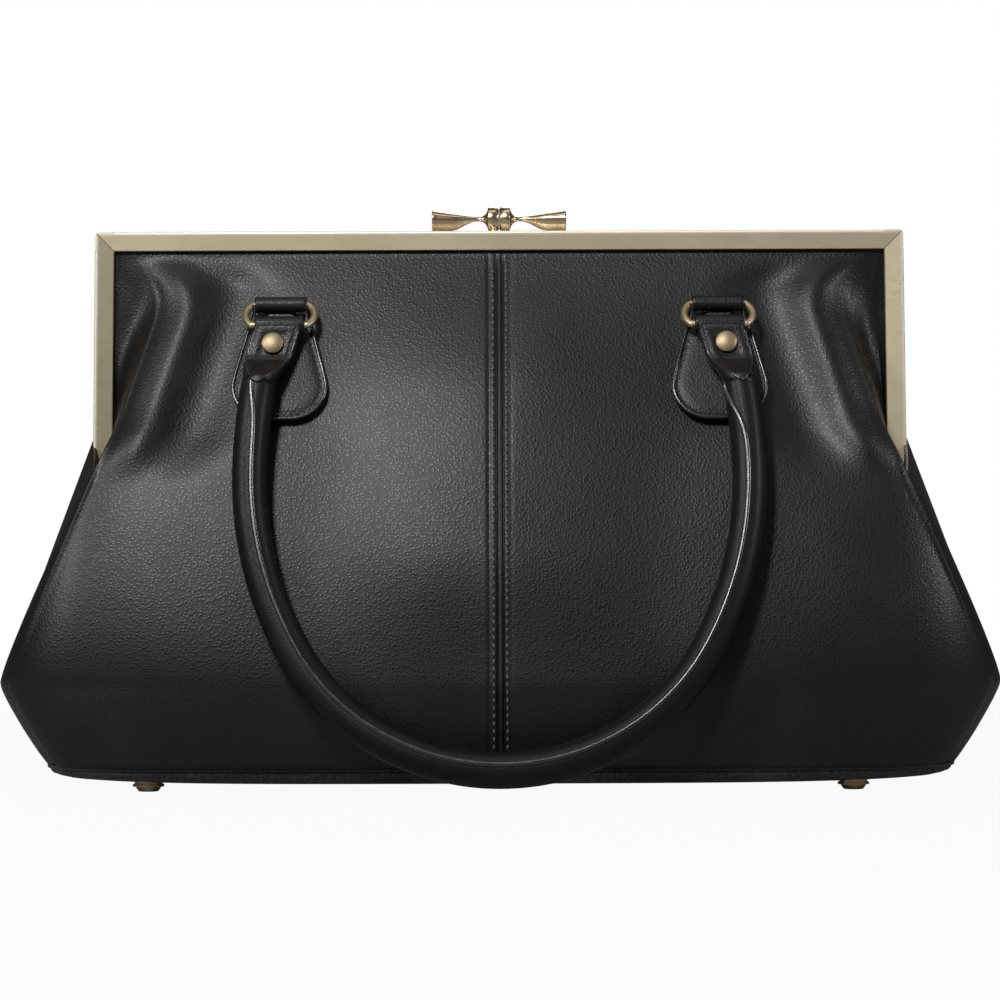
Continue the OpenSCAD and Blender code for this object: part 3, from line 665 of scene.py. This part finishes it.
dark_brass = metal("antique_brass", (0.40, 0.30, 0.17), (0.26, 0.18, 0.09), 0.3)
pale_brass = metal("pale_brass", (0.56, 0.45, 0.29), (0.46, 0.36, 0.22), 0.46)
finish_node("feet", dark_brass)
finish_node("foot_washers", pale_brass)
finish_node("hinge_pins", pale_brass)
rivet_brass = metal("rivet_brass", (0.36, 0.29, 0.18), (0.29, 0.23, 0.14), 0.5)

# Boards and cords: grey-brown fibre board stiffens the base and the walls, a twisted paper cord jams the
# leather in each frame channel, and a cotton cord fills each handle.
board_material, board_shader, board_place = start_material("fibre_board", Specular_IOR_Level=0.2)
board_pulp = board_place.grain(420.0, 4.0, 0.7)
feed(board_shader, Base_Color=board_pulp.ramp(0.3, 0.7).mix((0.20, 0.14, 0.09), (0.36, 0.27, 0.18)),
     Roughness=board_pulp.ramp(0.2, 0.8, 0.8, 0.95))
cord_material = mottled("twisted_cord", 1500.0, (0.35, 0.27, 0.18), (0.62, 0.53, 0.40), (0.8, 0.95),
                        Specular_IOR_Level=0.2)
finish_node("base_board", board_material)
board_half, board_low, board_high = 112.0 * MM, 16.0 * MM, 202.0 * MM
board_sink, board_thickness = leather_thickness + 0.3 * MM, 1.2 * MM
board_columns, board_rows = 48, 62


def board_point(column, row, wall):
    x = board_half * (column / (board_columns / 2) - 1)
    z = board_low + (board_high - board_low) * row / board_rows
    number = side_numbers[wall, "left" if x < 0 else "right"]
    return Vector((x, board_sink - worn_depth(abs(x), z, number), z))


for wall in ("front", "back"):
    mesh = bmesh.new()
    grid_sheet(mesh, board_columns, board_rows, lambda c, r: board_point(c, r, wall))
    outward_faces(mesh)
    placed(mesh, wall, "right")
    piece = finish_piece(f"{wall}_wall_board", mesh, board_material, recalc=False)
    thicken(piece, board_thickness)
    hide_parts(f"{wall}_board")
    bend_with_wall(piece)
    finish_node(f"{wall}_frame_cord", cord_material)

# Frame: two halves bent from brass channel and mitred at the corners, plated a pale satin champagne, with
# painted shade on the left arm and a painted highlight on the right one. The outer edge has a painted
# highlight, and painted shade lies along the channel's mouth.
frame_finish, frame_shader, frame_place = start_material("satin_champagne", Metallic=0.65)
frame_x = frame_place.axis(0).math("ABSOLUTE")
frame_z = frame_place.axis(2)
arm_lean = math.tan(math.radians(0.7))
across_arm = frame_x + frame_z * arm_lean - (arm_inner_x + frame_top * arm_lean)
across_bar = frame_z - (frame_top - frame_face)
from_mouth = across_arm.math("MAXIMUM", across_bar)
mitre = (across_arm - across_bar).math("ABSOLUTE").ramp(0.1 * MM, 0.32 * MM)
frame_drawn = frame_place.node("ShaderNodeVectorMath", {"operation": "MULTIPLY"}, in_0=frame_place,
                               in_1=(0.12, 1.0, 1.0))
frame_grain = frame_drawn.grain(2400.0, 2.0, 0.6)
frame_cloud = frame_place.grain(35.0)
champagne = frame_cloud.ramp(0.3, 0.7).mix((0.45, 0.385, 0.26), (0.50, 0.43, 0.30))
# Painted light on the arms: the left arm gets painted shade and the right one a painted highlight.
painted_arm_light_side = frame_place.axis(0).ramp(-0.01, 0.01)
on_arm = (across_arm - across_bar).ramp(-0.1 * MM, 0.1 * MM)
champagne_and_painted_arm_light = on_arm.mix(champagne, painted_arm_light_side.mix((0.32, 0.275, 0.185), (0.72, 0.625, 0.435)))
# Painted highlight along the frame's outer edge.
painted_edge_highlight = from_mouth.ramp(6.0 * MM, 7.9 * MM).mix(champagne_and_painted_arm_light, (0.85, 0.80, 0.68))
# Painted shade along the channel's mouth, where the rail meets the leather.
painted_mouth_shade = from_mouth.ramp(0.2 * MM, 0.75 * MM).mix((0.07, 0.05, 0.03), painted_edge_highlight)
joined = mitre.mix((0.10, 0.08, 0.05), painted_mouth_shade)
frame_relief = frame_place.node("ShaderNodeBump", Strength=0.25, Distance=0.04 * MM,
                                Height=frame_grain + mitre * 4.0)
feed(frame_shader, Base_Color=joined, Roughness=frame_grain.ramp(0.2, 0.8, 0.4, 0.54), Normal=frame_relief)
for wall in ("front", "back"):
    finish_node(f"{wall}_frame_rail", frame_finish)

# Clasp: two cast and turned brass halves that snap past each other, together a bow. Each has a hub, a thin
# neck and a horn that swells to a beaded end, and a stem riveted through its rail. It is antiqued and
# polished.
clasp_height = 225.0
hub_radius, hub_start, hub_end = 4.8, 0.45, 4.4
neck_radius, neck_reach = 0.9, 7.7
stem_reach, stem_depth, stem_radius = 2.1, 3.35, 1.3
stem_low, stem_high = 217.9, 221.5
flare_steps = 12
horn_sides = 40


def lathe(mesh, profile, place, steps=64):
    """Turns a profile of (radius, reach) points about the Z axis, then puts the piece in place."""
    verts = [bmesh.ops.create_vert(mesh, co=Vector((radius, 0, reach)))["vert"][0]
             for radius, reach in profile]
    edges = [mesh.edges.new(pair) for pair in zip(verts, verts[1:])]
    bmesh.ops.spin(mesh, geom=verts + edges, cent=(0, 0, 0), axis=(0, 0, 1), angle=2 * math.pi, steps=steps,
                   use_merge=True)
    bmesh.ops.remove_doubles(mesh, verts=mesh.verts, dist=1e-5)
    bmesh.ops.transform(mesh, matrix=place, verts=mesh.verts)


def quarter_flare(share):
    """The concave curve from the hub down to the neck."""
    turn = share * math.pi / 2
    flare = hub_radius - neck_radius
    return (neck_radius + flare * (1 - math.sin(turn)), hub_end + flare * 0.85 * (1 - math.cos(turn)))


clasp_profile = [(0.0, 0.06), (4.25, 0.06), (4.25, hub_start), (4.5, hub_start),
                 (hub_radius, hub_start + 0.3), (hub_radius, hub_end - 0.25), (hub_radius - 0.12, hub_end)]
clasp_profile += [quarter_flare(k / flare_steps) for k in range(1, flare_steps + 1)]
clasp_profile += [(0.85, neck_reach + 1.2), (0.0, neck_reach + 1.2)]
horn_rows = [(8.4, 0.85, 0.85), (9.6, 0.95, 0.95), (11.0, 1.15, 1.35), (12.5, 1.35, 1.95), (14.0, 1.6, 2.75),
             (15.5, 1.85, 3.6), (17.0, 2.1, 4.3), (19.0, 2.4, 4.65), (21.5, 2.75, 4.75), (24.0, 3.1, 4.75),
             (25.6, 3.35, 4.75), (25.9, 3.42, 4.8), (26.2, 3.5, 4.85), (26.5, 3.5, 4.85), (26.75, 3.35, 4.7),
             (26.8, 3.0, 4.3), (26.7, 1.5, 2.2)]
horn_brass = metal("clasp_brass", (0.66, 0.53, 0.37), (0.54, 0.41, 0.26), 0.27, fineness=300.0)


def horn_ring(reach, rise, drop, side):
    """A section of the horn: low above the axis and full below it, where it lies close over the rail."""
    ring = []
    for turn in turns(horn_sides):
        z = math.sin(turn) * (rise if math.sin(turn) > 0 else drop)
        ring.append(Vector((side * reach, math.cos(turn) * (rise + drop) / 2, z)) * MM
                    + Vector((0, 0, clasp_height * MM)))
    return ring


for wall, side in (("front", -1), ("back", 1)):
    mesh = bmesh.new()
    lathe(mesh, clasp_profile, Matrix.Translation((0, 0, clasp_height * MM))
          @ Matrix.Rotation(side * math.pi / 2, 4, "Y") @ Matrix.Scale(MM, 4))
    skin(mesh, [horn_ring(*row, side) for row in horn_rows])
    stem_middle = Vector((side * stem_reach, side * stem_depth, (stem_low + stem_high) / 2)) * MM
    bmesh.ops.create_cone(mesh, cap_ends=True, segments=24, radius1=stem_radius * MM,
                          radius2=stem_radius * MM, depth=(stem_high - stem_low) * MM,
                          matrix=Matrix.Translation(stem_middle))
    piece = finish_piece(f"{wall}_clasp", mesh, horn_brass)
    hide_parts(f"{wall}_clasp_half")
    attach(piece, f"{wall}_frame")

# Bag tabs: two layers of leather sewn together, folded round the ring bar at the top and sewn to the wall.
# Their cut edges are painted glossy black, and a row of stitches runs just inside.
tab_leather = leather_material("tab_leather", cell=1.1)
edge_paint = mottled("edge_paint", 300.0, (0.006, 0.006, 0.006), (0.014, 0.014, 0.014), (0.22, 0.34),
                     Specular_IOR_Level=0.6, Coat_Roughness=0.22, Coat_Weight=0.5)
ring_x, ring_depth, ring_height = 86.3, 18.53, 189.9
tab_lean = math.radians(22.14)
tab_neck = 10.2
tab_end_radius = 14.1
tab_end_x = 4.5
tab_length = 48.9


def on_bag(x, depth, z, lean):
    """Puts a shape drawn upright in millimetres, with its outside towards -Y, on the front of the bag."""
    upright = Matrix.Rotation(-lean, 4, "X") @ Matrix.Scale(MM, 4)
    return Matrix.Translation(Vector((x, -depth, z)) * MM) @ upright


def bag_tab_outline():
    """Half outline from the neck down the flank and round the end, then its mirror, closed over the top."""
    end_z = tab_end_radius - tab_length
    flank = [Vector((tab_neck, 0, 0)).lerp(Vector((18.1, 0, -30.7)), k / 12) for k in range(12)]
    bend = [Vector((tab_end_x + tab_end_radius * math.cos(a), 0, end_z + tab_end_radius * math.sin(a)))
            for a in (math.radians(16 - 106 * k / 20) for k in range(21))]
    half = flank + bend
    return half + [Vector((-p.x, 0, p.z)) for p in reversed(half)]


def inset_loop(outline, inset, height):
    """The outline moved inwards by inset, at a depth given for each point."""
    moved = []
    for k, point in enumerate(outline):
        along = outline[(k + 1) % len(outline)] - outline[k - 1]
        inward = Vector((along.z, 0, -along.x)).normalized()
        spot = point + inward * inset
        moved.append(Vector((spot.x, height(spot), spot.z)))
    return moved


def even_points(points, pitch):
    """Points at an even pitch along a line of many points."""
    kept, left = [points[0]], pitch
    for start, end in zip(points, points[1:]):
        step = (end - start).length
        while left <= step:
            kept.append(start.lerp(end, left / step))
            left += pitch
        left -= step
    return kept


def neck_swell(spot):
    """The front layer bulges out below the ring bar before it meets the back one."""
    return -2.3 * hump(spot.z, 3.4)


def cross_roll(middle_x, rows, sides=32):
    """Rings of a roll that lies along X round a ring bar, from rows of (x, radius)."""
    return [[Vector((middle_x + x, radius * math.sin(a), radius * math.cos(a))) for a in turns(sides)]
            for x, radius in rows]


def painted_bead(mesh, line, radius, ups, sides):
    """A painted ridge along an open line, with the direction that it stands in at each point."""
    last = len(line) - 1
    skin(mesh, [bead_ring(point, line[min(k + 1, last)] - line[max(k - 1, 0)], radius, up, sides)
                for k, (point, up) in enumerate(zip(line, ups))], material=1)


tab_rows = [(6.0, 3.2), (0.5, 3.2), (0.0, 2.8), (0.0, 1.9), (0.15, 1.65), (0.0, 1.4), (0.0, 0.6), (0.3, 0.2),
            (0.8, 0.02), (1.3, 0.05), (1.9, 0.22), (2.6, 0.05), (3.6, -0.15), (5.0, -0.28), (7.0, -0.35)]
tab_roll = [(-10.2, 2.5), (-10.1, 2.95), (-9.8, 3.2)] + [(-9.0 + 1.0 * k, 3.25) for k in range(19)]
tab_roll += [(9.8, 3.2), (10.1, 2.95), (10.2, 2.5)]
tab_place = on_bag(ring_x, ring_depth, ring_height, tab_lean)
outline = bag_tab_outline()
for wall in ("front", "back"):
    for half in ("left", "right"):
        mesh = bmesh.new()
        skin(mesh, [inset_loop(outline, inset, lambda spot, y=y: y + (neck_swell(spot) if y < 1 else 0))
                    for inset, y in tab_rows])
        skin(mesh, cross_roll(0, tab_roll))
        rim = inset_loop(outline, 0.45, lambda spot: 0.25 + neck_swell(spot))[3:-3]
        painted_bead(mesh, rim, 0.75, [Vector((0, 1, 0))] * len(rim), 10)
        placed(mesh, wall, half, tab_place)
        piece = finish_piece(f"{wall}_bag_tab_{half}", mesh, tab_leather, edge_paint)
        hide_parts(f"{wall}_chape_{half}")
        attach(piece, f"{wall}_wall")
        mesh = bmesh.new()
        row = inset_loop(outline, 2.2, lambda spot: 0.05 + neck_swell(spot))[4:-4]
        stitch_row(mesh, even_points(row, 2.7), 2.1, 0.8)
        placed(mesh, wall, half, tab_place)
        piece = finish_piece(f"{wall}_bag_tab_stitching_{half}", mesh, thread_material)
        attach(piece, f"{wall}_wall")
        finish_node(f"{wall}_ring_{half}", pale_brass)

# Handles: leather rolled round a cord and closed along one edge, which stands up as a fine painted ridge.
# The line is three arcs on each side, from the lowest point up to the tabs.
handle_leather = leather_material("handle_leather", cell=0.9, bump=0.7, gloss=0.36, shine=0.22,
                                  tone=(0.002,) * 3)
handle_arcs = [(90, 0, 62), (147, 62, 90), (230, 90, 99.5)]
handle_radius, cord_radius = 6.9, 5.2
handle_drop = 180.0
handle_front = 5.0
handle_depth, handle_height = 28.11, 181.57
handle_lean = math.radians(16.6)
handle_step = 2.2
handle_sides, cord_sides = 28, 14
handle_place = on_bag(0, handle_depth, handle_height, handle_lean)


def handle_side():
    """Stations of one side from the lowest point up: (x, height, slope, distance along it)."""
    stations, centre, previous, travelled = [], Vector((0, handle_arcs[0][0])), None, 0.0
    for radius, start, end in handle_arcs:
        if previous:
            turn = math.radians(start)
            centre = centre + (previous - radius) * Vector((math.sin(turn), -math.cos(turn)))
        length = radius * math.radians(end - start)
        count = round(length / handle_step)
        for k in range(count):
            turn = math.radians(start + (end - start) * k / count)
            stations.append((centre.x + radius * math.sin(turn), centre.y - radius * math.cos(turn), turn,
                             travelled + length * k / count))
        previous, travelled = radius, travelled + length
    turn = math.radians(handle_arcs[-1][2])
    stations.append((centre.x + previous * math.sin(turn), centre.y - previous * math.cos(turn), turn,
                     travelled))
    return stations


half_line = handle_side()
handle_end = half_line[-1]
handle_line = [(-x, h, -turn, -far) for x, h, turn, far in reversed(half_line[1:])] + half_line


def handle_point(station, angle, radius):
    """A point of the round handle: angle 0 faces the front, and positive ones turn towards the hand's gap."""
    x, h, turn, far = station
    inward = Vector((-math.sin(turn), 0, math.cos(turn)))
    centre = Vector((x, -handle_front, h - handle_drop))
    return centre + radius * (math.cos(angle) * Vector((0, -1, 0)) + math.sin(angle) * inward)


def ridge_angle(station):
    """The ridge lies near the front, and swings aside where it leaves the tabs."""
    left_end, right_end = station[3] + handle_end[3], handle_end[3] - station[3]
    return math.radians(8 - 30 * hump(left_end, 12) + 62 * hump(right_end, 15))


for wall in ("front", "back"):
    mesh = bmesh.new()
    loops = []
    for station in handle_line:
        ring = []
        for angle in turns(handle_sides):
            creep = noise.noise(Vector((station[3] * 0.03, math.cos(angle), math.sin(angle)))) * 0.12
            ring.append(handle_point(station, angle, handle_radius + creep))
        loops.append(ring)
    skin(mesh, loops)
    ridge = [handle_point(station, ridge_angle(station), handle_radius - 0.1) for station in handle_line]
    spine = [handle_point(station, 0, 0) for station in handle_line]
    painted_bead(mesh, ridge, 1.15, [point - middle for point, middle in zip(ridge, spine)], 14)
    placed(mesh, wall, "right", handle_place)
    piece = finish_piece(f"{wall}_handle", mesh, handle_leather, edge_paint)
    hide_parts(f"{wall}_handle_cover")
    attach(piece, f"{wall}_handle")
    mesh = bmesh.new()
    skin(mesh, [[handle_point(station, turn, cord_radius) for turn in turns(cord_sides)]
                for station in handle_line[1:-1]])
    placed(mesh, wall, "right", handle_place)
    piece = finish_piece(f"{wall}_handle_cord", mesh, cord_material)
    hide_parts(f"{wall}_handle_core")
    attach(piece, f"{wall}_handle")

# Handle ends: a strap folded round the lower ring bar, pressed flat and then drawn in round the rolled
# handle. A shield shaped patch with painted edges covers its front, held by a brass rivet with a low dome.
end_shift = (handle_end[0] - ring_x) / (handle_drop - handle_end[1])
strap_rows = [(1.0, 9.5, 3.4, 0.0, 8), (3.0, 9.4, 3.1, 0.0, 8), (8.0, 9.2, 2.7, 0.0, 8),
              (13.0, 9.1, 2.6, 0.0, 8), (15.5, 9.0, 2.9, -0.5, 6), (18.0, 8.7, 3.8, -1.7, 4.2),
              (20.3, 8.2, 4.9, -2.9, 3.2), (22.4, 7.7, 6.0, -4.1, 2.5), (24.6, 7.3, 6.9, -4.9, 2.1),
              (26.5, 7.1, 7.1, -5.0, 2.0), (27.3, 6.95, 6.95, -5.0, 2.0)]


def strap_sizes(s):
    """Half width, half thickness, depth and squareness of the strap at a distance below the ring bar."""
    for low, high in zip(strap_rows, strap_rows[1:]):
        if s <= high[0]:
            k = clamp((s - low[0]) / (high[0] - low[0]))
            return [a + (b - a) * k for a, b in zip(low[1:], high[1:])]
    return list(strap_rows[-1][1:])


def strap_ring(s, count=44):
    half_w, half_t, y, power = strap_sizes(s)
    lean = (handle_end[2] - math.pi / 2) * ease((s - 13) / 11)
    ring = []
    for turn in turns(count):
        spot = oval_point(half_w, half_t, power, turn, 0)
        ring.append(Vector((ring_x + end_shift * s + spot.x * math.cos(lean), y + spot.y,
                            -s - spot.x * math.sin(lean))))
    return ring


def strap_front(x, s):
    """Depth of the strap's front at a place."""
    half_w, half_t, y, power = strap_sizes(s)
    across = min(abs(x - ring_x - end_shift * s) / half_w, 0.96)
    return y - half_t * (1 - across ** power) ** (1 / power)


shield_length, shield_straight, shield_half_width = 27.5, 12, 8.8
shield_steps = 25


def shield_width(s):
    """Half width of the patch: straight below the fold, then drawn in to a rounded point."""
    if s < shield_straight:
        return shield_half_width
    drawn = clamp((s - shield_straight) / (shield_length - shield_straight))
    return shield_half_width * (1 - drawn ** 1.7) ** 0.75


def shield_outline():
    """The patch's edge, down its right side and back up its left one."""
    right = []
    for k in range(shield_steps + 1):
        s = shield_length * (1 - (1 - k / shield_steps) ** 1.4)
        right.append(Vector((ring_x + end_shift * s + shield_width(s), 0, -s)))
    return right[:-1] + [Vector((2 * (ring_x - end_shift * p.z) - p.x, 0, p.z)) for p in reversed(right)]


shield = shield_outline()
shield_rows = [(0.0, -0.2), (0.01, 0.3), (0.35, 0.6), (0.8, 0.62), (1.3, 0.42), (2.0, 0.6), (2.9, 0.66),
               (3.9, 0.5), (4.9, 0.25), (shield_half_width, 0.25)]
shield_stations = [0.0, 0.01, 0.35, 0.8, 1.3, 2.0, 2.9, 3.9] + [4.9 + 0.7 * k for k in range(33)]


def shield_ring(s):
    """A section across the patch: its swelling front from side to side, then its back inside the strap."""
    width = max(shield_width(s), 0.3)
    insets = [row[0] for row in shield_rows[:-1]] + [5.9, 7.2]
    left = [inset / shield_half_width - 1 for inset in insets]
    across = left + [0.0] + [-share for share in reversed(left)]
    ring = []
    for share in across:
        x = ring_x + end_shift * s + share * width
        inset = min(shield_half_width * (1 - abs(share)), s, shield_length + 0.1 - s)
        ring.append(Vector((x, strap_front(x, s) - read_off(shield_rows, inset), -s)))
    for share in (0.98, 0.5, 0.0, -0.5, -0.98):
        x = ring_x + end_shift * s + share * width
        ring.append(Vector((x, strap_front(x, s) + 0.6, -s)))
    return ring


rivet_drop = 8.6
rivet_seat = 3.9
rivet_profile = [(0.0, 1.5), (0.8, 1.47), (1.6, 1.38), (2.4, 1.22), (3.1, 1.02), (3.7, 0.78), (4.1, 0.55),
                 (4.28, 0.35), (4.3, 0.1), (4.2, -0.2), (1.2, -0.2), (1.2, -6.0), (3.4, -6.05), (3.4, -6.4),
                 (3.1, -6.5), (0.0, -6.5)]
strap_roll = [(-9.6, 2.8), (-9.5, 3.2), (-9.2, 3.48), (-8.7, 3.55), (-4.5, 3.55), (0.0, 3.55), (4.5, 3.55),
              (8.7, 3.55), (9.2, 3.48), (9.5, 3.2), (9.6, 2.8)]


def join_part(mesh, part):
    """Adds a finished part to a mesh and frees it."""
    spare = bpy.data.meshes.new("spare")
    part.to_mesh(spare)
    part.free()
    mesh.from_mesh(spare)
    bpy.data.meshes.remove(spare)


for wall in ("front", "back"):
    for half in ("left", "right"):
        mesh = bmesh.new()
        skin(mesh, [strap_ring(1.0 + 0.75 * k) for k in range(36)])
        skin(mesh, cross_roll(ring_x, strap_roll))
        skin(mesh, [shield_ring(s) for s in shield_stations])
        rim = inset_loop(shield, 0.3, lambda spot: strap_front(spot.x, -spot.z) - 0.4)[2:-2]
        painted_bead(mesh, rim, 0.4, [Vector((0, 1, 0))] * len(rim), 6)
        placed(mesh, wall, half, handle_place)
        piece = finish_piece(f"{wall}_handle_end_{half}", mesh, tab_leather, edge_paint)
        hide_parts(f"{wall}_handle_tab_{half}")
        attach(piece, f"{wall}_handle")
    mesh = bmesh.new()
    for side in (-1, 1):
        one = bmesh.new()
        seat = Matrix.Translation((side * (ring_x + end_shift * rivet_drop), -rivet_seat, -rivet_drop))
        lathe(one, rivet_profile, handle_place @ seat @ Matrix.Rotation(math.pi / 2, 4, "X"), 40)
        join_part(mesh, one)
    placed(mesh, wall, "right")
    piece = finish_piece(f"{wall}_rivets", mesh, rivet_brass)
    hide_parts(f"{wall}_handle_rivets")
    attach(piece, f"{wall}_handle")

# Lining: brown twill, cut like the walls and a little smaller, so that it lies in loose folds behind the
# leather, and a floor of the same cloth over the base board.
lining_cloth, lining_shader, lining_place = start_material("lining_twill", Specular_IOR_Level=0.15,
                                                           Sheen_Weight=0.3, Sheen_Roughness=0.5)
lining_x = lining_place.axis(0)
lining_y = lining_place.axis(1)
lining_z = lining_place.axis(2)
twill = ((lining_x + lining_y + lining_z * 0.8) * 9000.0).math("SINE")
lining_cloud = lining_place.grain(60.0, 3.0)
feed(lining_shader, Base_Color=twill.ramp(-1.0, 1.0).mix((0.085, 0.066, 0.05), (0.17, 0.135, 0.105)),
     Roughness=lining_cloud.ramp(0.2, 0.8, 0.8, 0.95),
     Normal=lining_place.node("ShaderNodeBump", Strength=0.4, Distance=0.15 * MM, Height=twill))
lining_sink, lining_thickness = 3.3 * MM, 0.5 * MM
for wall in ("front", "back"):
    mesh = bmesh.new()
    for half in ("right", "left"):
        number = side_numbers[wall, half]
        quarter = bmesh.new()
        wall_quarter(quarter, number, seam=0.0, side_rows=split_row - 1)
        quarter.normal_update()
        for vert in quarter.verts:
            loose = 0.5 * MM * (1 + noise.noise(vert.co * 40)) * ease((channel_mouth - vert.co.z) / (25 * MM))
            at_seam = vert.co.x < 0.1 * MM
            near_arm = ease((vert.co.x - arm_inner_x + 14 * MM) / (12 * MM))
            in_arm = near_arm * ease((vert.co.z - split_height) / (8 * MM))
            vert.co -= vert.normal * (lining_sink + loose) * (1 - 0.55 * in_arm)
            vert.co.x = 0.0 if at_seam else max(vert.co.x, 0.0)
        placed(quarter, wall, half)
        join_part(mesh, quarter)
    piece = finish_piece(f"{wall}_lining_cloth", mesh, lining_cloth, recalc=False)
    thicken(piece, lining_thickness)
    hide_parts(f"{wall}_lining")
    bend_with_wall(piece)
mesh = bmesh.new()
floor_rows = [(100.0, 30.0, 9.7), (165.0, 48.0, 9.7), (171.0, 53.0, 10.0), (171.4, 53.3, 10.6),
              (169.0, 51.5, 10.6), (120.0, 36.0, 10.5), (40.0, 12.0, 10.4)]
floor_sides = 96
skin(mesh, [[oval_point(half_x * MM, half_y * MM, base_power, turn, z * MM) for turn in turns(floor_sides)]
            for half_x, half_y, z in floor_rows])
piece = finish_piece("floor_lining_cloth", mesh, lining_cloth)
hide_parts("lining_tub")
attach(piece, "base")
